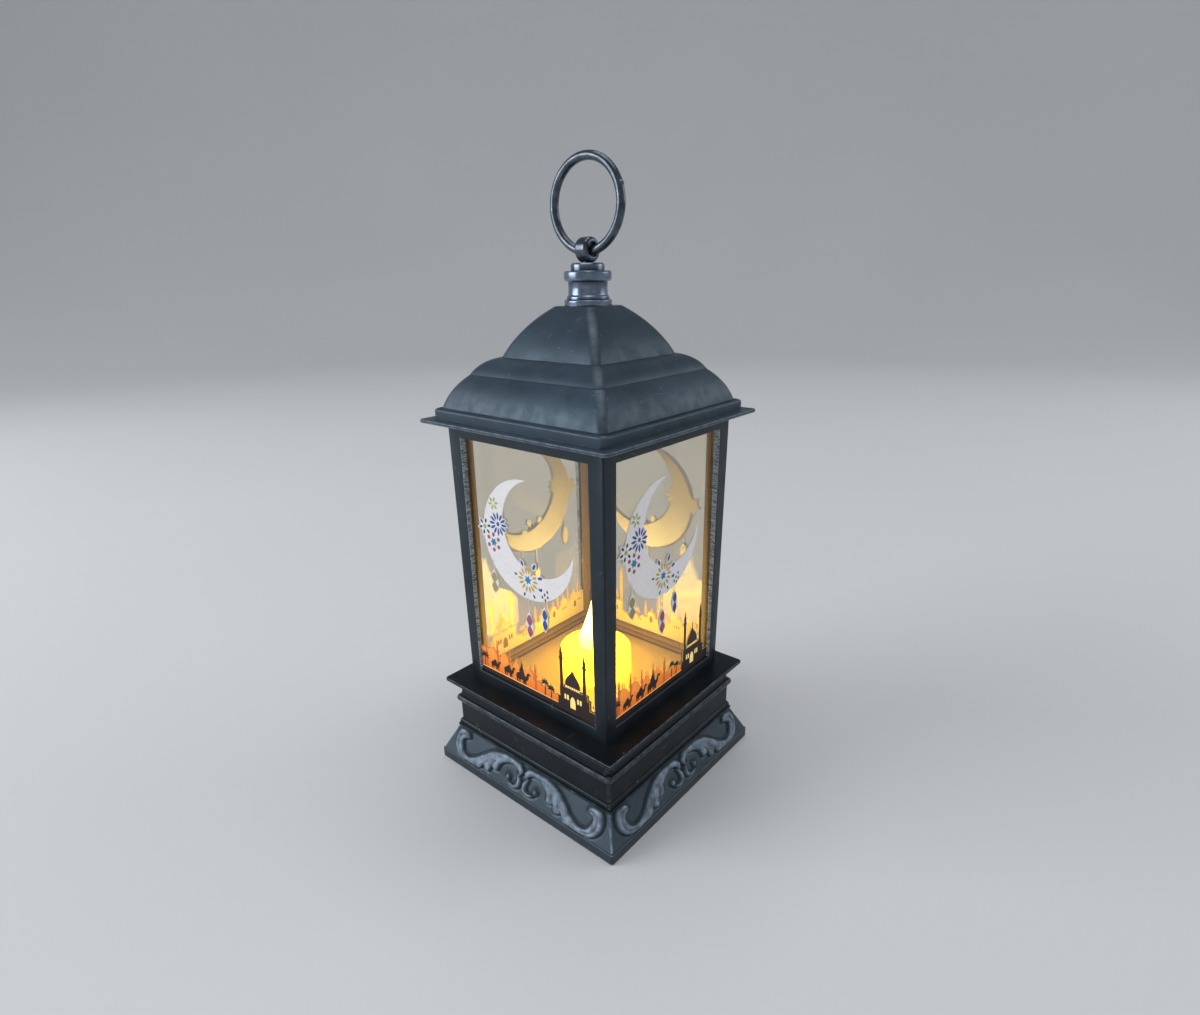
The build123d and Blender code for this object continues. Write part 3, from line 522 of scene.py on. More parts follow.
def softened(node, name, width, material, angle=24.0, wide=None, reveal=None):
    """A copy of a solid with its hard edges rounded, which stands for it. Rounded edges carry a mark of
    wear and painted highlight.

    Where given, wide picks the edges that get a broader rounding, as (test, width), and reveal picks the
    window sides to mark.
    """
    work = bmesh.new()
    work.from_mesh(nodes[node].data)
    bmesh.ops.remove_doubles(work, verts=work.verts, dist=SAME_POINT)
    bmesh.ops.dissolve_limit(work, angle_limit=FLAT_ANGLE, verts=work.verts, edges=work.edges)
    wear_and_highlight = work.faces.layers.float.new("wear_and_highlight")
    shown = work.faces.layers.float.new("reveal")
    inside = work.faces.layers.float.new("inside")

    def cut(edges, breadth, segments):
        return bmesh.ops.bevel(
            work, geom=edges, offset=breadth * MM, offset_type="OFFSET", segments=segments, profile=0.5,
            affect="EDGES", clamp_overlap=True,
        )["faces"]

    broad = []
    if wide:
        test, breadth = wide
        broad = cut([e for e in hard_edges(work, angle) if test(e)], breadth, 4)
    for face in cut(hard_edges(work, max(angle, 30.0)), width, 2):
        face[wear_and_highlight] = 1.0
    for face in work.faces:
        if reveal and (reveal(face) or face in broad):
            face[shown] = 1.0
        if reveal and candle_side(face):
            face[inside] = 1.0
    mesh = bpy.data.meshes.new(name)
    work.to_mesh(mesh)
    work.free()
    mesh.polygons.foreach_set("use_smooth", [True] * len(mesh.polygons))
    mesh.set_sharp_from_angle(angle=SHARP_ANGLE)
    placed(name, mesh, "lantern", material, (node,))


# Roof, eave and base tier with rounded arrises

ARRIS, RIDGE = 1.2, 1.6
square_piece("roof_shell", [
    (22.85, ROOF_FOOT, 0.12, 0.62, RIDGE), (18.4, 95.2, 0.25, 0.58, RIDGE),
    (14.1, 98.55, 0.2, 0, RIDGE, 0.1), (13.5, 98.55, 0.1, 0.86, RIDGE), (5.4, ROOF_TOP, 0.3, 0, RIDGE, 0.2),
    (2.5, ROOF_TOP, 0.05, 0, 2.5), (2.5, ROOF_CEILING, 0.05, 0, 2.5), (4.2, ROOF_CEILING, 0.1, -0.8, 0.2),
    (12.3, 97.35, 0.1, 0, 0.2), (17.2, 94.0, 0.1, -0.6, 0.2), (21.65, ROOF_FOOT, 0.05, 0, 0.2),
], roof_black_lit_copy, "roof", 0.35, 8)

square_piece("eave_moulding", [
    (26.2, EAVE_FOOT, 0.16, 0, 1.0, 0.9), (26.2, EAVE_TOP, 0.16, 0, 1.0, 0.8),
    (23.95, EAVE_TOP, 0.1, 0, ARRIS), (23.95, 87.7, 0, 0.176, ARRIS),
    (23.35, ROOF_FOOT, 0.06, 0, ARRIS, 0.25), (22.85, 87.8, 0.06, 0, ARRIS),
    (22.85, ROOF_FOOT, 0.05, 0, ARRIS), (20.93, ROOF_FOOT, 0.08, 0, 0.2), (20.93, 89.9, 0.1, 0, 0.2),
    (19.93, 89.9, 0.1, 0, 0.2), (19.93, ROOF_FOOT, 0.08, 0, 0.2), (16.9, ROOF_FOOT, 0.08, 0, 0.2),
    (16.9, 83.75, 0.08, 0, 0.2), (17.9, 83.75, 0.08, 0, 0.2), (17.9, EAVE_FOOT, 0.08, 0, 0.2),
], roof_black_lit_copy, "eave_frame", 0.45)

# A bead with a painted highlight and a cove with painted shade
TIER_PAINTED_LIGHT = ((15.9, 17.5, 24.2, 0.4), (17.7, 21.6, 23.7, -0.6))
boss_path = [(2.5, 3.0), (2.5, 20.65), (1.2, 20.65), (1.2, 3.0)]
bosses = [
    lathed(boss_path, 28, (x, y)) for x in (-SCREW_PLACE, SCREW_PLACE) for y in (-SCREW_PLACE, SCREW_PLACE)
]
square_piece("base_moulding", [
    (24.5, PLINTH_TOP, 0.06, 0, 0.4), (24.5, 9.35, 0.1, 0, 0.4, 0.45), (24.2, 9.35, 0.05, 0, 0.4),
    (24.2, 9.6, 0, 0.24, 0.6), (23.8, 10.7, 0.06, 0, 0.8), (23.8, 15.8, 0.06, 0.72, 0.8),
    (23.8, 17.6, 0.06, -0.75, 0.8), (25.15, 21.7, 0.08, 0, 0.6), (25.95, 21.7, 0.1, 0, 0.45, 0.4),
    (25.95, FLOOR_TOP, 0.1, 0, 0.45, 0.8), (7.1, FLOOR_TOP, 0.05, 0, 7.1), (7.1, 20.65, 0.05, 0, 7.1),
    (21.8, 20.65, 0.1, 0, 0.3), (21.8, PLINTH_TOP, 0.06, 0, 0.3),
], body_black, "base_tier", 0.5, extra=bosses, tones=TIER_PAINTED_LIGHT)

# How near, in millimetres, counts as on the frame's face, on a window's line, within its ends and beside it
ON_FACE, ON_LINE, PAST_END, BESIDE = 0.05, 0.06, 0.1, 0.15
UPRIGHT = 0.1


def window_edge(edge):
    """Whether an edge frames a window on the frame's outer face."""
    spots = [v.co / MM for v in edge.verts]
    middle, half = (WINDOW_FOOT + WINDOW_HEAD) / 2, (WINDOW_HEAD - WINDOW_FOOT) / 2
    for flip in (0, 1):
        sides = [(abs(p[flip]) - WINDOW_HALF, abs(p.z - middle) - half) for p in spots]
        faced = all(
            abs(abs(p[1 - flip]) - FRAME_FOOT_HALF - FRAME_LEAN * (p.z - FLOOR_TOP)) < ON_FACE for p in spots
        )
        upright = all(abs(a) < ON_LINE and b < PAST_END for a, b in sides)
        level = all(abs(b) < ON_LINE and a < PAST_END for a, b in sides)
        if faced and (upright or (level and (spots[0].z > middle) == (spots[1].z > middle))):
            return True
    return False


def candle_side(face):
    """Whether a face of the posts or the lower rail lies inside the panels."""
    x, y, z = face.calc_center_median() / MM
    return z < WINDOW_HEAD and max(abs(x), abs(y)) < PANEL_IN + PAST_END


def window_reveal(face):
    """Whether a face is the upright side of a window opening, outside its panel."""
    x, y, z = face.calc_center_median() / MM
    beside = min(abs(abs(x) - WINDOW_HALF), abs(abs(y) - WINDOW_HALF)) < BESIDE
    upright = abs(face.normal.z) < UPRIGHT
    return upright and beside and WINDOW_FOOT < z < WINDOW_HEAD and max(abs(x), abs(y)) > PANEL_OUT


softened(
    "body_frame", "post_frame", 0.2, frame_black_lit_copy, wide=(window_edge, 0.22),
    reveal=window_reveal,
)

# Plinth with carved scrolls

SCROLL_ROWS, SCROLL_CUTS = 50, 224
# The outline's last point on the slope's foot is below the one and wider than the other
SLOPE_FOOT, INSIDE_HALF = 0.4, 26.5


def smooth_line(points, per_span=10):
    """Catmull-Rom points through a drawn line."""
    data = np.asarray(points, float)
    ends = np.vstack([2 * data[0] - data[1], data, 2 * data[-1] - data[-2]])
    made = []
    for index in range(1, len(ends) - 2):
        p0, p1, p2, p3 = ends[index - 1:index + 3]
        for step in range(per_span):
            t = step / per_span
            second, third = 2 * p0 - 5 * p1 + 4 * p2 - p3, 3 * p1 - p0 - 3 * p2 + p3
            made.append(0.5 * (2 * p1 + (p2 - p0) * t + second * t * t + third * t ** 3))
    made.append(ends[-2])
    return np.asarray(made)


def on_slope(*runs):
    """Smooth runs of share points, joined at sharp tips, in millimetres on one half of a sloping face."""
    joined = np.vstack([smooth_line(run)[:-1] for run in runs] + [np.asarray(runs[-1][-1:])])
    return joined * (PLINTH_TOP_HALF, SLOPE)


# Shares across from the face's middle to its corner, and up the slope
LEAF = on_slope(
    [(0.0, 0.76), (0.063, 0.95), (0.171, 0.99), (0.287, 0.985), (0.425, 0.87), (0.545, 0.61), (0.62, 0.4),
     (0.69, 0.28), (0.743, 0.235), (0.813, 0.285), (0.854, 0.48), (0.857, 0.64), (0.82, 0.7),
     (0.778, 0.76)],
    [(0.778, 0.76), (0.79, 0.86), (0.805, 0.93), (0.852, 0.99), (0.916, 0.985), (0.958, 0.88), (0.98, 0.63),
     (0.956, 0.32), (0.884, 0.1), (0.771, 0.03), (0.674, 0.035), (0.57, 0.04)],
    [(0.57, 0.04), (0.54, 0.12), (0.52, 0.22)], [(0.52, 0.22), (0.48, 0.14), (0.44, 0.115)],
    [(0.44, 0.115), (0.42, 0.21), (0.41, 0.32)], [(0.41, 0.32), (0.366, 0.29), (0.322, 0.32)],
    [(0.322, 0.32), (0.316, 0.46), (0.298, 0.58), (0.237, 0.71), (0.144, 0.77), (0.075, 0.69), (0.052, 0.54)],
    [(0.052, 0.54), (0.02, 0.62), (0.0, 0.76)],
)
VOLUTE = on_slope(
    [(0.052, 0.6), (0.014, 0.46), (0.01, 0.28), (0.04, 0.15), (0.09, 0.105), (0.145, 0.14),
     (0.182, 0.22)],
    [(0.182, 0.22), (0.14, 0.25), (0.105, 0.225), (0.074, 0.27), (0.064, 0.38), (0.072, 0.5),
     (0.085, 0.62)],
    [(0.085, 0.62), (0.07, 0.63), (0.052, 0.6)],
)
FLUTES = [on_slope(run) for run in (
    [(0.41, 0.32), (0.4, 0.46), (0.372, 0.6)], [(0.52, 0.22), (0.505, 0.33), (0.47, 0.45)],
    [(0.8, 0.8), (0.86, 0.83), (0.905, 0.74), (0.922, 0.55), (0.905, 0.35), (0.855, 0.19), (0.78, 0.125)],
)]
# Share across, share up, radius and height
BEADS = [(0.18, 0.36, 0.8, 0.62), (0.836, 0.8, 0.55, 0.6)]
MOAT_AWAY, MOAT_SPREAD, FADE = 0.14, 0.24, 0.1
RELIEF_HEIGHT, RELIEF_SHOULDER, FLUTE_DEPTH, FLUTE_WIDTH = 0.74, 0.85, 0.26, 0.18


def line_gap(line, points, closed):
    """Distance of points from a line, below zero where they lie outside a closed one."""
    start, end = (line, np.roll(line, -1, axis=0)) if closed else (line[:-1], line[1:])
    run = end - start
    away = points[:, None] - start[None]
    share = np.clip((away * run).sum(2) / np.maximum((run * run).sum(1), 1e-9), 0, 1)
    gap = np.linalg.norm(away - share[..., None] * run, axis=2).min(1)
    if not closed:
        return gap
    height = points[:, None, 1]
    rise = np.where(np.abs(run[:, 1]) < 1e-9, 1e-9, run[:, 1])
    crossed = ((start[:, 1] > height) != (end[:, 1] > height)) & (
        points[:, None, 0] < run[:, 0] * (height - start[:, 1]) / rise + start[:, 0]
    )
    return np.where(crossed.sum(1) % 2 == 1, gap, -gap)


def relief(across, up):
    """Height of the carving at points of one face."""
    points = np.column_stack([np.abs(across), up])
    inside = np.maximum(line_gap(LEAF, points, True), line_gap(VOLUTE, points, True))
    share = np.clip(inside / RELIEF_SHOULDER, 0, 1)
    total = RELIEF_HEIGHT * np.sqrt(1 - (1 - share) ** 2)
    for flute in FLUTES:
        groove = FLUTE_DEPTH * np.exp(-(line_gap(flute, points, False) / FLUTE_WIDTH) ** 2)
        total -= np.where(inside > 0, np.minimum(groove, 0.5 * total), 0.0)
    for x, y, radius, tall in BEADS:
        gap = np.hypot(points[:, 0] - x * PLINTH_TOP_HALF, up - y * SLOPE)
        total = np.maximum(total, tall * np.sqrt(np.clip(1 - (gap / radius) ** 2, 0, 1)))
        inside = np.maximum(inside, radius - gap)
    dip = -MOAT_DEPTH * np.exp(-((inside + MOAT_AWAY) / MOAT_SPREAD) ** 2)
    moat = np.where(inside <= 0, dip, 0.0)
    fade = np.clip((SLOPE - up) / FADE, 0, 1) * np.clip(up / FADE, 0, 1)
    return (total + moat) * fade


def carved_plinth():
    """Plinth with painted shade on its lip, whose slopes are cut into fine rows and lifted by the relief."""
    path = rounded([
        (PLINTH_HALF, 0.0, 0.25, 0, 0.5, 0.2), (PLINTH_HALF, LIP_TOP - 0.12, 0.14, 0, 0.5, 0.15),
        (PLINTH_HALF - 0.22, LIP_TOP, 0.05, 0, 0.5), (PLINTH_TOP_HALF, PLINTH_TOP, 0.1, 0, 0.5),
        (22.2, PLINTH_TOP, 0.05, 0, 0.3), (24.45, 3.0, 0.04, 0, 0.3), (25.6, 3.0, 0.04, 0, 0.3),
        (25.6, 0.0, 0.06, 0, 0.3),
    ])
    # Painted shade on the lip
    path = toned(path, [(-0.1, LIP_TOP, PLINTH_HALF - 0.3, -0.6)])
    low = max(i for i, p in enumerate(path) if p[1] < LIP_TOP + SLOPE_FOOT and p[0] > INSIDE_HALF)
    start, end = path[low], path[low + 1]
    rows = []
    for step in range(1, SCROLL_ROWS):
        t = step / SCROLL_ROWS
        rows.append((start[0] + t * (end[0] - start[0]), start[1] + t * (end[1] - start[1]), 0.0, 0.5))
    path[low + 1:low + 1] = rows

    def carve(row, along):
        if not low < row <= low + len(rows):
            return None
        up = (path[row][1] - LIP_TOP) / SLOPE_RISE * SLOPE
        return relief(np.asarray(along), np.full(len(along), up))

    verts, faces, marks = square_loft(path, SCROLL_CUTS, ridge=1.0, carve=carve)
    piece("carved_plinth", verts, faces, "lantern", plinth_black_lit_copy, "black_plastic", ("plinth",), marks)


carved_plinth()

# Finial, eye and ring


def outline_round(points, turn):
    """Open lathe outline with its corners rounded."""
    made = [points[0]]
    for before, here, after in zip(points, points[1:], points[2:]):
        b, h, a = Vector(before), Vector(here), Vector(after)
        cut_in = min(turn, 0.42 * (h - b).length)
        cut_out = min(turn, 0.42 * (a - h).length)
        p, q = h + (b - h).normalized() * cut_in, h + (a - h).normalized() * cut_out
        for step in range(4):
            t = step / 3
            made.append(tuple((1 - t) ** 2 * p + 2 * t * (1 - t) * h + t * t * q))
    return made + [points[-1]]


finial_line = outline_round([
    (2.4, ROOF_CEILING), (2.4, ROOF_TOP), (4.95, ROOF_TOP), (4.95, 109.75), (4.78, 109.95), (4.42, 109.98),
    (4.42, 110.5), (4.1, 110.9), (4.05, 112.2), (4.1, 113.45), (4.3, 113.52), (4.7, 113.55), (4.92, 113.95),
    (4.92, 115.2), (4.72, 115.55), (3.47, 115.6), (3.47, 116.75), (3.17, 117.1), (1.25, 117.1),
    (1.25, 112.4), (1.2, 112.2), (1.2, ROOF_CEILING),
], 0.09)
# Painted shade in the finial's grooves, at these heights and radii
FINIAL_GROOVE_SHADE, GROOVE_SHADE_SPREAD = ((109.98, 4.42), (113.47, 4.15), (115.6, 3.47)), 0.06
finial_verts, finial_faces = lathed(finial_line, 96)
finial_groove_shade = [
    max(math.exp(-((z - b) ** 2 + (math.hypot(x, y) - a) ** 2) / GROOVE_SHADE_SPREAD) for b, a in FINIAL_GROOVE_SHADE)
    for x, y, z in finial_verts
]
piece(
    "finial_stem", finial_verts, finial_faces, "lantern", finial_grey, "grey_plastic", ("finial",),
    {"crease_shade": finial_groove_shade},
)
softened("eye_screw", "eye_loop", 0.06, gunmetal, 40.0)

NUB_ANGLE, NUB_SPREAD, NUB_HEIGHT = math.radians(19.5), 0.035, 0.3


def ring(steps=288, across=28):
    """Round wire ring with the small pale nub that its mould left outside."""
    verts, wear_and_highlight = [], []
    for i in range(steps):
        a = 2 * math.pi * i / steps
        near = math.exp(-((a - NUB_ANGLE) / NUB_SPREAD) ** 2)
        for j in range(across):
            b = 2 * math.pi * j / across
            outer = max(math.cos(b), 0.0) ** 3
            out = RING_RADIUS + RING_WIRE * math.cos(b) + NUB_HEIGHT * near * outer
            verts.append((out * math.cos(a), RING_WIRE * math.sin(b), RING_CENTRE + out * math.sin(a)))
            wear_and_highlight.append(near * outer)
    faces = skin([range(row * across, (row + 1) * across) for row in range(steps)])
    piece("ring_wire", verts, faces, "ring", gunmetal, "gunmetal", ("hanging_ring",), {"wear_and_highlight": wear_and_highlight})


ring()

# Candle and flame

candle_line = outline_round([
    (5.8, 20.65), (7.0, 20.65), (7.0, FLOOR_TOP), (CANDLE_RADIUS, FLOOR_TOP), (CANDLE_RADIUS, 28.7),
    (8.0, 29.3), (7.6, 29.72), (6.9, CANDLE_TOP), (5.8, 29.9), (4.7, 29.76), (2.6, 29.7), (2.6, 26.95),
    (5.8, 26.95),
], 0.25)
piece("candle_glow", *lathed(candle_line, 96), "lantern", candle_lit, "candle_plastic", ("candle_body",))

flame_line = [(FLAME_BORE, 29.65), (3.4, 29.65)] + [tuple(spot) for spot in smooth_line([
    (3.5, 29.95), (3.6, 31.2), (3.35, 32.4), (2.75, 33.7), (2.3, 34.9), (1.82, 36.3), (1.4, 37.5),
    (1.02, 38.8), (0.66, 40.1), (0.3, 41.5), (0.08, 42.2),
], 4)] + [(0.0, FLAME_TIP), (0.0, 35.15), (FLAME_BORE, 32.35)]
piece("flame_cap", *lathed(flame_line, 64), "lantern", flame_lit, "flame_plastic", ("flame",))

# Prints on the four panels, in millimetres right of the panel's middle and above the table. The directions
# are to the right along each panel, and out of it.

PANELS = {
    "front": ((1, 0), (0, -1)), "right": ((0, 1), (1, 0)),
    "back": ((-1, 0), (0, 1)), "left": ((0, -1), (-1, 0)),
}


def crescent(outer, outer_radius, inner, inner_radius, steps=40):
    """Moon between two circles, from tip to tip and back."""
    gap = Vector(inner) - Vector(outer)
    d = gap.length
    lead = math.atan2(gap.y, gap.x)
    reach = (d * d + outer_radius ** 2 - inner_radius ** 2) / (2 * d)
    open_out = math.acos(reach / outer_radius)
    open_in = math.acos((reach - d) / inner_radius)
    full = 2 * math.pi
    out = [lead + open_out + (full - 2 * open_out) * i / steps for i in range(steps + 1)]
    back = [lead - open_in + full - (full - 2 * open_in) * i / steps for i in range(1, steps)]
    return around(outer, outer_radius, out) + around(inner, inner_radius, back)


PETAL = [(0, 0), (0.3, 0.8), (0.6, 1.0), (0.85, 0.55), (1, 0), (0.85, -0.55), (0.6, -1.0), (0.3, -0.8)]


def petal(x, y, angle, near, far, width):
    """Leaf-shaped petal that points away from a centre."""
    c, s = math.cos(angle), math.sin(angle)
    spots = [(near + t * (far - near), w * width / 2) for t, w in PETAL]
    return [(x + c * out - s * aside, y + s * out + c * aside) for out, aside in spots]


def rosette(x, y, count, near, far, width, lead=0.0):
    return [petal(x, y, lead + 2 * math.pi * i / count, near, far, width) for i in range(count)]


def star(x, y, count, inner, outer, lead=0.0):
    spots = [(inner if i % 2 else outer, lead + math.pi * i / count) for i in range(2 * count)]
    return [(x + radius * math.cos(a), y + radius * math.sin(a)) for radius, a in spots]


def mirrored(half, x):
    """Closed outline from its right half."""
    return half + [(2 * x - a, b) for a, b in reversed(half) if a != x]


def lozenge(x, y, width, height):
    shape = [(0, 0.5), (0.26, 0.36), (0.42, 0.14), (0.5, 0.0), (0.42, -0.14), (0.26, -0.34), (0, -0.5)]
    return mirrored([(x + width * a, y + height * b) for a, b in shape], x)


def box2(left, low, right, high):
    return [(left, low), (right, low), (right, high), (left, high)]


def arch(x, low, width, height):
    """Window with a pointed head."""
    shape = [(0.5, 0.0), (0.5, 0.55), (0.42, 0.74), (0.22, 0.92), (0.0, 1.0)]
    return mirrored([(x + width * a, low + height * b) for a, b in shape], x)


# Half a tower, in shares of its half width and in heights from the foot of its cap
TOWER_FOOT, CAP_HEIGHT, TOWER_TIP = 26.0, 2.2, 0.1
TOWER_HEAD = [
    (0.85, -1.2), (1.3, -1.0), (1.3, -0.6), (0.8, -0.5), (0.8, 0.0), (1.0, 0.3), (0.5, 1.1),
]


def towers(rows):
    """Slender towers with a gallery, from rows of (x, top, width)."""
    made = []
    for x, high, width in rows:
        half, cap = width / 2, high - CAP_HEIGHT
        right = [(x + a * half, cap + b) for a, b in TOWER_HEAD]
        made.append(mirrored([(x + half, TOWER_FOOT)] + right + [(x + TOWER_TIP, high)], x))
    return made


def dome(x, low, radius, tip, shape, spike):
    """Dome with a thin finial, from half an outline in shares of its radius."""
    return mirrored([(x + radius * a, low + radius * b) for a, b in shape] + [(x + spike, tip)], x)


POINTED = [
    (0.98, 0.0), (1.0, 0.2), (0.95, 0.45), (0.83, 0.74), (0.63, 1.04), (0.4, 1.33), (0.2, 1.56), (0.09, 1.78),
]
ROUND = [(1.0, 0.0), (1.05, 0.3), (0.95, 0.66), (0.72, 0.97), (0.4, 1.18), (0.12, 1.32)]
POINTED_SPIKE, ROUND_SPIKE = 0.12, 0.09
CAMEL = [
    (0.09, 0.0), (0.16, 0.0), (0.18, 0.22), (0.23, 0.28), (0.24, 0.02), (0.31, 0.02), (0.33, 0.26),
    (0.5, 0.27), (0.51, 0.0), (0.58, 0.0), (0.6, 0.25), (0.64, 0.02), (0.71, 0.02), (0.71, 0.32),
    (0.78, 0.38), (0.86, 0.52), (0.87, 0.74), (0.91, 0.8), (1.0, 0.77), (1.0, 0.88), (0.92, 0.97),
    (0.82, 0.96), (0.76, 0.84), (0.73, 0.68), (0.68, 0.62), (0.62, 0.7), (0.56, 0.9), (0.47, 1.0),
    (0.37, 0.92), (0.28, 0.76), (0.14, 0.68), (0.05, 0.52),
]
FRONDS, FROND_WIDTH = (-0.25, 0.35, 0.95, 1.6, 2.25, 2.85, 3.4), 0.42


def camel(x, low, width, height):
    return [(x + width * (a - 0.5), low + height * b) for a, b in CAMEL]


def palm(x, low, height, spread):
    made = [[(x - 0.16, low), (x + 0.16, low), (x + 0.24, low + height), (x, low + height)]]
    return made + [petal(x + 0.12, low + height, angle, 0.0, spread, FROND_WIDTH) for angle in FRONDS]


MOON_CENTRE, BITE_CENTRE = (-0.7, 62.2), (2.7, 65.4)
MOON = crescent(MOON_CENTRE, 13.3, BITE_CENTRE, 10.4)
MOON_INSET = crescent(MOON_CENTRE, 12.8, BITE_CENTRE, 10.85)
STRIP_FOOT = WINDOW_FOOT + 0.05
STRIP_EDGE = WINDOW_HALF - 0.05
GROUND_TOP, GROUND_LINE = 26.5, 0.14
TOWN = [
    [(-STRIP_EDGE, STRIP_FOOT), (7.4, STRIP_FOOT), (7.4, 27.6), (6.3, 28.3), (5.5, 27.9), (4.2, 28.6),
     (3.0, 28.9), (1.9, 28.2), (0.8, 29.3), (-0.6, 28.8), (-1.3, 29.9), (-2.6, 30.4), (-3.3, 29.3),
     (-4.7, 29.6), (-5.6, 30.8), (-6.8, 30.2), (-7.7, 29.4), (-8.9, 30.4), (-9.6, 31.5), (-10.8, 30.9),
     (-11.7, 30.0), (-12.9, 30.8), (-13.7, 31.9), (-15.0, 31.3), (-15.7, 30.3), (-16.7, 31.4),
     (-STRIP_EDGE, 31.8)],
] + [dome(*row, ROUND, ROUND_SPIKE) for row in (
    (-2.1, 29.6, 1.1, 32.0), (-6.2, 29.8, 1.0, 32.4), (-10.2, 30.4, 1.15, 33.0), (-14.4, 30.7, 1.2, 33.5),
)]
TOWN_TOWERS = towers([
    (0.1, 33.4, 0.8), (-4.2, 33.5, 0.7), (-8.3, 34.2, 0.7), (-12.3, 35.0, 0.7), (-16.2, 35.4, 0.7),
])
MOSQUE_TOWERS = towers([(8.2, 41.1, 1.0), (14.7, 40.8, 1.0)])
MOSQUE = [
    box2(6.9, STRIP_FOOT, STRIP_EDGE, 27.0), box2(7.6, 26.6, 15.4, 31.3), box2(15.0, 26.6, 16.0, 30.2),
    box2(7.0, 26.6, 7.9, 28.6), box2(15.8, 26.6, STRIP_EDGE, 28.0),
]
MOSQUE_DOME = dome(11.3, 31.9, 2.2, 37.2, POINTED, POINTED_SPIKE)
MOSQUE_BACK = MOSQUE + [dome(11.3, 31.9, 1.7, 35.6, POINTED, POINTED_SPIKE)]
CARAVAN = [
    camel(-13.2, 27.0, 3.7, 2.6), camel(-8.5, 26.9, 4.1, 3.0), camel(-4.05, 26.7, 5.0, 3.5),
    [(-5.3, 29.6), (-3.5, 29.6), (-4.0, 31.2), (-4.2, 32.2), (-4.5, 31.2)],
    box2(-STRIP_EDGE, STRIP_FOOT, 7.2, GROUND_TOP),
] + palm(-17.0, 25.8, 3.6, 1.5) + palm(2.95, 25.8, 4.0, 1.3) + palm(4.8, 25.8, 3.2, 1.2)
PANES = [
    arch(11.3, 26.7, 1.5, 2.9), *[box2(x, 28.4, x + 0.5, 29.6) for x in (8.9, 9.65, 12.55, 13.3)],
]
WINDOWS = PANES + [
    *[box2(9.3 + 0.6 * i, 31.42, 9.3 + 0.6 * i + 0.42, 31.85) for i in range(7)],
    box2(-STRIP_EDGE, GROUND_TOP, 7.0, GROUND_TOP + GROUND_LINE),
]
PENDANTS = {"olive": (-11.6, 50.0, 2.7, 6.2), "rose": (-0.9, 42.5, 2.4, 6.9), "blue": (3.85, 45.4, 2.0, 6.3)}
THREADS = [
    box2(x - 0.09, y + h / 2 - 0.3, x + 0.09, top)
    for (x, y, w, h), top in zip(PENDANTS.values(), (55.4, 49.8, 50.6))
]
HUB, STAR_HUB, BLUE_HUB = (-0.76, 53.4), (-13.6, 62.8), (-9.25, 64.2)
ROSE_HUB, LEAF_HUB = (-11.0, 59.65), (-10.4, 68.7)
# Direction, start, end and width of the petals round the main hub
SPRIGS = [
    (0.35, 3.0, 4.7, 1.05), (1.05, 3.0, 4.9, 1.15), (2.0, 3.0, 4.6, 1.05), (3.0, 3.1, 4.2, 0.8),
    (-1.9, 3.1, 4.3, 0.8), (-1.1, 3.1, 4.3, 0.8), (-0.35, 3.1, 4.4, 0.9),
]
SPRIG_EDGES = [petal(*HUB, a, near - 0.2, far + 0.25, w + 0.4) for a, near, far, w in SPRIGS]
STAR_EDGE = [star(*STAR_HUB, 6, 1.5, 2.6, 0.25)]
BLUE_EDGE = rosette(*BLUE_HUB, 12, 1.0, 3.0, 1.0)
DOTS = [(3.2, 52.2), (4.1, 51.4), (3.4, 50.7), (4.9, 52.2), (4.3, 50.2), (5.0, 51.0)]

# Colour, and where they differ from the rest glow, mottle and a second colour for the foot
INKS = {tone: ink("ink_" + tone, *look) for tone, look in {
    "white": ((0.67, 0.65, 0.66), 0.25, 0.08),
    "orange": ((0.93, 0.3, 0.038), 0.42, 0.14, (0.76, 0.15, 0.011)),
    "cream": ((0.65, 0.59, 0.49), 0.0, 0.08), "pearl": ((0.54, 0.53, 0.64), 0.0, 0.08),
    "window": ((1.0, 0.72, 0.24), 0.45), "rust": ((0.6, 0.14, 0.018), 0.3),
    "lit": ((1.0, 0.68, 0.16), 0.85), "brown": ((0.03, 0.011, 0.01),), "thread": ((0.74, 0.64, 0.48),),
    "blue": ((0.03, 0.085, 0.34),), "gold": ((0.62, 0.42, 0.07),), "teal": ((0.02, 0.24, 0.42),),
    "rose": ((0.4, 0.1, 0.18),), "green": ((0.4, 0.5, 0.14),), "olive": ((0.42, 0.36, 0.12),),
    "dark": ((0.03, 0.025, 0.12),), "shade": ((0.2, 0.115, 0.03),),
}.items()}

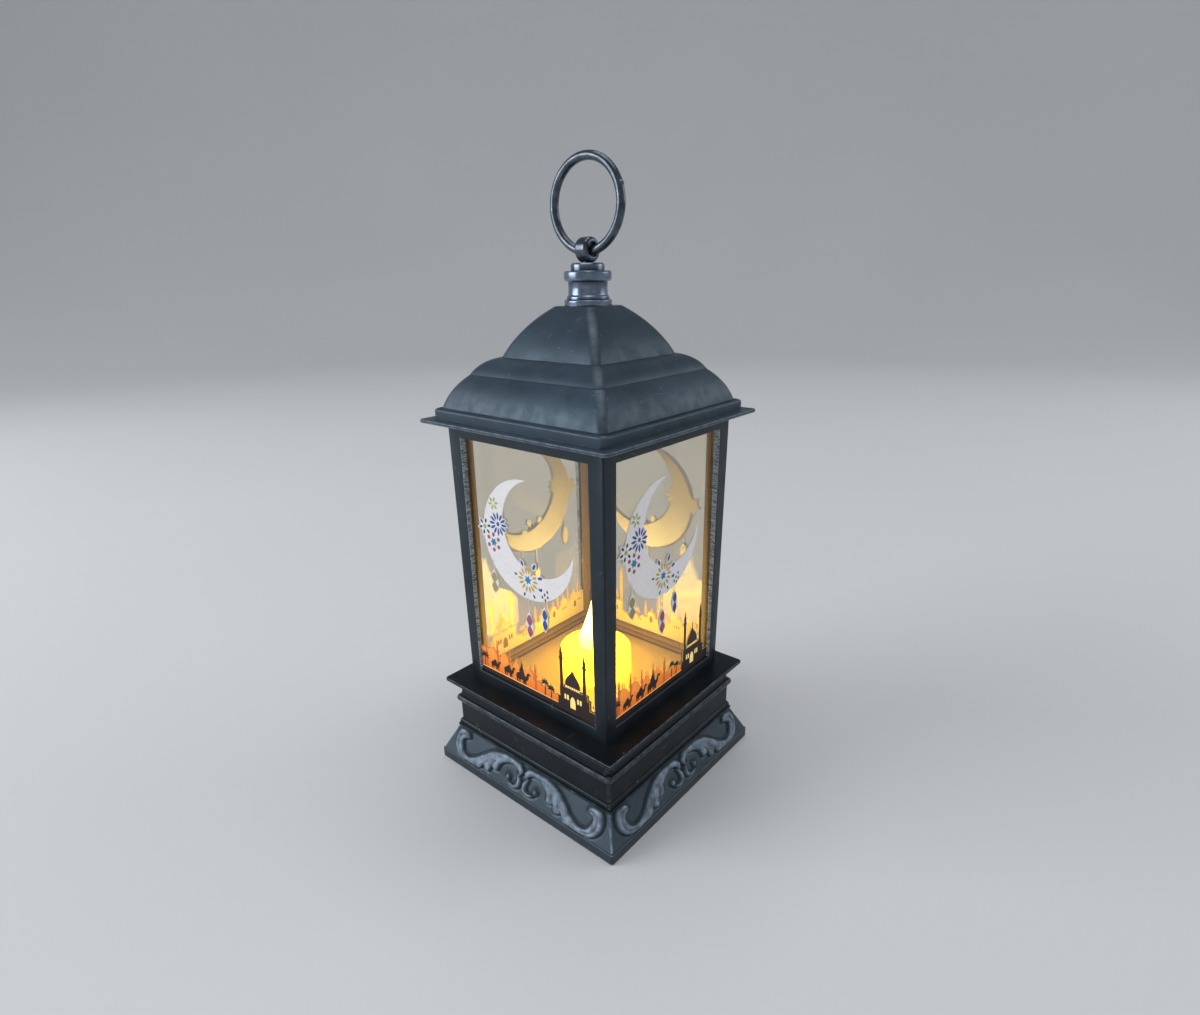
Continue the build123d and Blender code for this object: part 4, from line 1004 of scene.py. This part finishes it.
# Ink on the outer face. The pale lit slips under the skyline face the candle and glow with painted candle
# light.
DARK_SKYLINE = MOSQUE + [MOSQUE_DOME] + CARAVAN
LAYERS = [
    ("lit", 0, TOWN + DARK_SKYLINE + TOWN_TOWERS + MOSQUE_TOWERS), ("orange", 1, TOWN),
    ("rust", 2, TOWN_TOWERS), ("brown", 3, DARK_SKYLINE + MOSQUE_TOWERS), ("window", 4, WINDOWS),
    ("thread", 0, THREADS),
    ("white", 0, [MOON] + STAR_EDGE + [lozenge(*row) for row in PENDANTS.values()] + SPRIG_EDGES[:3]
     + BLUE_EDGE),
    ("blue", 1, rosette(*BLUE_HUB, 12, 0.85, 2.75, 0.62) + [star(*BLUE_HUB, 6, 0.35, 0.68)]
     + [petal(*HUB, a, near + 0.1, far, w * 0.7) for a, near, far, w in SPRIGS]),
    ("teal", 1, [star(*ROSE_HUB, 6, 0.6, 1.1), star(*HUB, 6, 0.6, 1.15, 0.26)]),
    ("rose", 1, rosette(*ROSE_HUB, 6, 1.2, 2.3, 1.0, 0.52)),
    ("green", 1, rosette(*LEAF_HUB, 6, 0.3, 1.6, 0.6, 0.2) + [star(*STAR_HUB, 6, 0.45, 0.62)]),
    ("gold", 1, rosette(*HUB, 14, 1.35, 3.0, 0.62)),
    ("dark", 1, rosette(*STAR_HUB, 6, 0.8, 2.0, 0.62, 0.25) + [lozenge(x, y, 0.5, 0.8) for x, y in DOTS]),
]
for tone, (x, y, w, h) in PENDANTS.items():
    LAYERS.append((tone, 1, [lozenge(x, y + h * k, w * 0.74, h * 0.42) for k in (-0.2, 0.18)]))

# Coat on the inner face. Next to the panel it has the tone of the ink before it, and inside it is pale.
MOON_BACK = [MOON_INSET] + [lozenge(x, y, w * 0.8, h * 0.86) for x, y, w, h in PENDANTS.values()] + (
    THREADS + BLUE_EDGE + STAR_EDGE + SPRIG_EDGES
)
BACK_SHADE = PANES + [arch(x, 28.0, 0.9, 1.9) for x in (-14.4, -6.2, -2.1)] + [
    box2(x, y, x + 0.32, y + 0.6) for x, y in (
        (-16.6, 29.4), (-15.9, 29.4), (-11.0, 28.9), (-10.3, 28.9), (-9.6, 28.9), (-4.6, 28.4), (1.0, 27.6),
        (1.7, 27.6), (4.0, 27.2), (5.0, 27.2), (16.4, 28.6), (17.1, 28.6),
    )
]
BACK_LAYERS = [
    ("orange", 0, TOWN), ("brown", 0, MOSQUE_BACK), ("white", 0, MOON_BACK),
    ("cream", 1, TOWN + MOSQUE_BACK), ("pearl", 1, MOON_BACK), ("shade", 2, BACK_SHADE),
]
INK_GAP, INK_STEP, INK_THICKNESS, INK_STAGGER = 0.008, 0.024, 0.012, 0.0003


def printed(name, side, layers, base, way):
    """Thin printed shapes on one face of a panel, as closed slips of ink."""
    (rx, ry), (nx, ny) = PANELS[side]
    verts, faces, tones = [], [], []
    inks = list(dict.fromkeys(tone for tone, _, _ in layers))
    for tone, lift, shapes in layers:
        for index, shape in enumerate(shapes):
            start, count = len(verts), len(shape)
            level = INK_GAP + lift * INK_STEP + index * INK_STAGGER
            for out in (base + way * level, base + way * (level + INK_THICKNESS)):
                verts += [(rx * a + nx * out, ry * a + ny * out, b) for a, b in shape]
            area = sum(p[0] * q[1] - q[0] * p[1] for p, q in zip(shape, shape[1:] + shape[:1]))
            flip = (area < 0) != (way < 0)
            made = []
            for tri in tessellate_polygon([[Vector((a, b, 0.0)) for a, b in shape]]):
                (ax, ay), (bx, by), (cx, cy) = (shape[i] for i in tri)
                turn = (bx - ax) * (cy - ay) - (by - ay) * (cx - ax)
                tri = tri if (turn > 0) == (way > 0) else tri[::-1]
                made.append(tuple(start + count + i for i in tri))
                made.append(tuple(start + i for i in reversed(tri)))
            for i in range(count):
                j = (i + 1) % count
                wall = (start + i, start + j, start + count + j, start + count + i)
                made.append(wall[::-1] if flip else wall)
            faces += made
            tones += [inks.index(tone)] * len(made)
    made = piece(name, verts, faces, "lantern", INKS[inks[0]], smooth=False)
    for tone in inks[1:]:
        made.data.materials.append(INKS[tone])
    made.data.polygons.foreach_set("material_index", tones)


for side in PANELS:
    printed("print_" + side, side, LAYERS, PANEL_OUT, 1)
    printed("print_back_coat_" + side, side, BACK_LAYERS, PANEL_IN, -1)

# Finishes on the solids that show as they are

FINISHES = [
    (clear_acrylic, ["window_panel_" + side for side in PANELS]),
    (steel, ["finial_washer", "finial_screw", "base_screws", "door_screw", "contact_plate", "contact_leaf"]),
    (cell_can, ["button_cells"]), (lamp_lit, ["lamp"]), (tan_card, ["floor_card"]),
    (body_black, ["base_plate", "battery_door"]), (switch_plastic, ["switch_body", "switch_knob"]),
    (wire_pvc, ["hook_up_wires"]),
]
for material, names in FINISHES:
    for name in names:
        nodes[name].data.materials.clear()
        nodes[name].data.materials.append(material)

# Floor, light and camera


def floor_bowl(radius=1.6, rise=1.3, bend=0.7, steps=128, rings=22):
    """Round floor that bends up all round into a plain backdrop, in metres."""
    path = [(0.0, 0.0), (0.02, 0.0), (0.3, 0.0), (radius - bend, 0.0)]
    for step in range(1, rings + 1):
        a = math.pi / 2 * step / rings
        path.append((radius - bend + bend * math.sin(a), bend - bend * math.cos(a)))
    path.append((radius, rise))
    made = bpy.data.objects.new("floor", meshed("floor", *lathed(path, steps, closed=False)))
    scene.collection.objects.link(made)
    finish = Finish("floor_pale")
    finish.bumps((finish.noise(0.05, 2.0), 0.02))
    tone = finish.blend(finish.noise(0.004, 2.0), (0.66, 0.67, 0.685), (0.7, 0.71, 0.72))
    finish.set(Base_Color=tone, Roughness=0.7)
    made.data.materials.append(finish.material)


floor_bowl()


LAMP_TARGET = Vector((0.0, 0.0, 0.07))
COOL_LIGHT, WHITE_LIGHT, CANDLE_LIGHT = (0.94, 0.975, 1.0), (1.0, 1.0, 1.0), (1.0, 0.8, 0.27)


def lamp_at(name, place, power, colour, size=None):
    """Lamp in metres and watts that neither the camera nor the clear panels show, flat if it has a size."""
    data = bpy.data.lights.new(name, "AREA" if size else "POINT")
    data.energy, data.color = power, colour
    made = bpy.data.objects.new(name, data)
    made.location = place
    made.visible_camera = made.visible_transmission = False
    if size:
        data.shape = "RECTANGLE"
        data.size, data.size_y = size
        made.rotation_euler = (LAMP_TARGET - Vector(place)).to_track_quat("-Z", "Y").to_euler()
    scene.collection.objects.link(made)
    return made


lamp_at("key", (-0.56, -0.66, 0.36), 5.4, COOL_LIGHT, (0.62, 0.46))
lamp_at("fill", (0.58, 0.68, 0.4), 1.7, COOL_LIGHT, (0.6, 0.45))
lamp_at("top", (0.0, 0.05, 1.25), 6.0, WHITE_LIGHT, (1.0, 1.0))
glow = lamp_at("candle_light", (0.0, 0.0, 0.046), 0.024, CANDLE_LIGHT)
glow.data.shadow_soft_size = 0.003
glow.visible_glossy = False

world = bpy.data.worlds.new("studio")
scene.world = world
world.use_nodes = True
sky = world.node_tree.nodes["Background"]
sky.inputs["Color"].default_value = (0.86, 0.9, 0.95, 1.0)
sky.inputs["Strength"].default_value = 0.26

# Fitted to the photograph
CAMERA_AZIMUTH, CAMERA_ELEVATION, CAMERA_ROLL = map(math.radians, (40.54, 18.48, -0.95))
CAMERA_TARGET, CAMERA_DISTANCE = Vector((1.31, 1.12, 64.41)) * MM, 157.7 * MM
FOCAL_PIXELS, PHOTO_WIDTH, SENSOR = 690.9, 1200, 36.0
level = math.cos(CAMERA_ELEVATION)
back = Vector((
    math.sin(CAMERA_AZIMUTH) * level, -math.cos(CAMERA_AZIMUTH) * level, math.sin(CAMERA_ELEVATION),
))
right = Vector((0, 0, 1)).cross(back).normalized()
aim = Matrix((right, back.cross(right), back)).transposed().to_4x4()
camera_data = bpy.data.cameras.new("camera")
camera_data.sensor_fit = "HORIZONTAL"
camera_data.sensor_width = SENSOR
camera_data.lens = FOCAL_PIXELS / PHOTO_WIDTH * SENSOR
camera_data.clip_start, camera_data.clip_end = 0.005, 20.0
camera = bpy.data.objects.new("camera", camera_data)
scene.collection.objects.link(camera)
spot = Matrix.Translation(CAMERA_TARGET + back * CAMERA_DISTANCE)
camera.matrix_world = spot @ aim @ Matrix.Rotation(CAMERA_ROLL, 4, "Z")
scene.camera = camera

scene.view_settings.view_transform = "Standard"
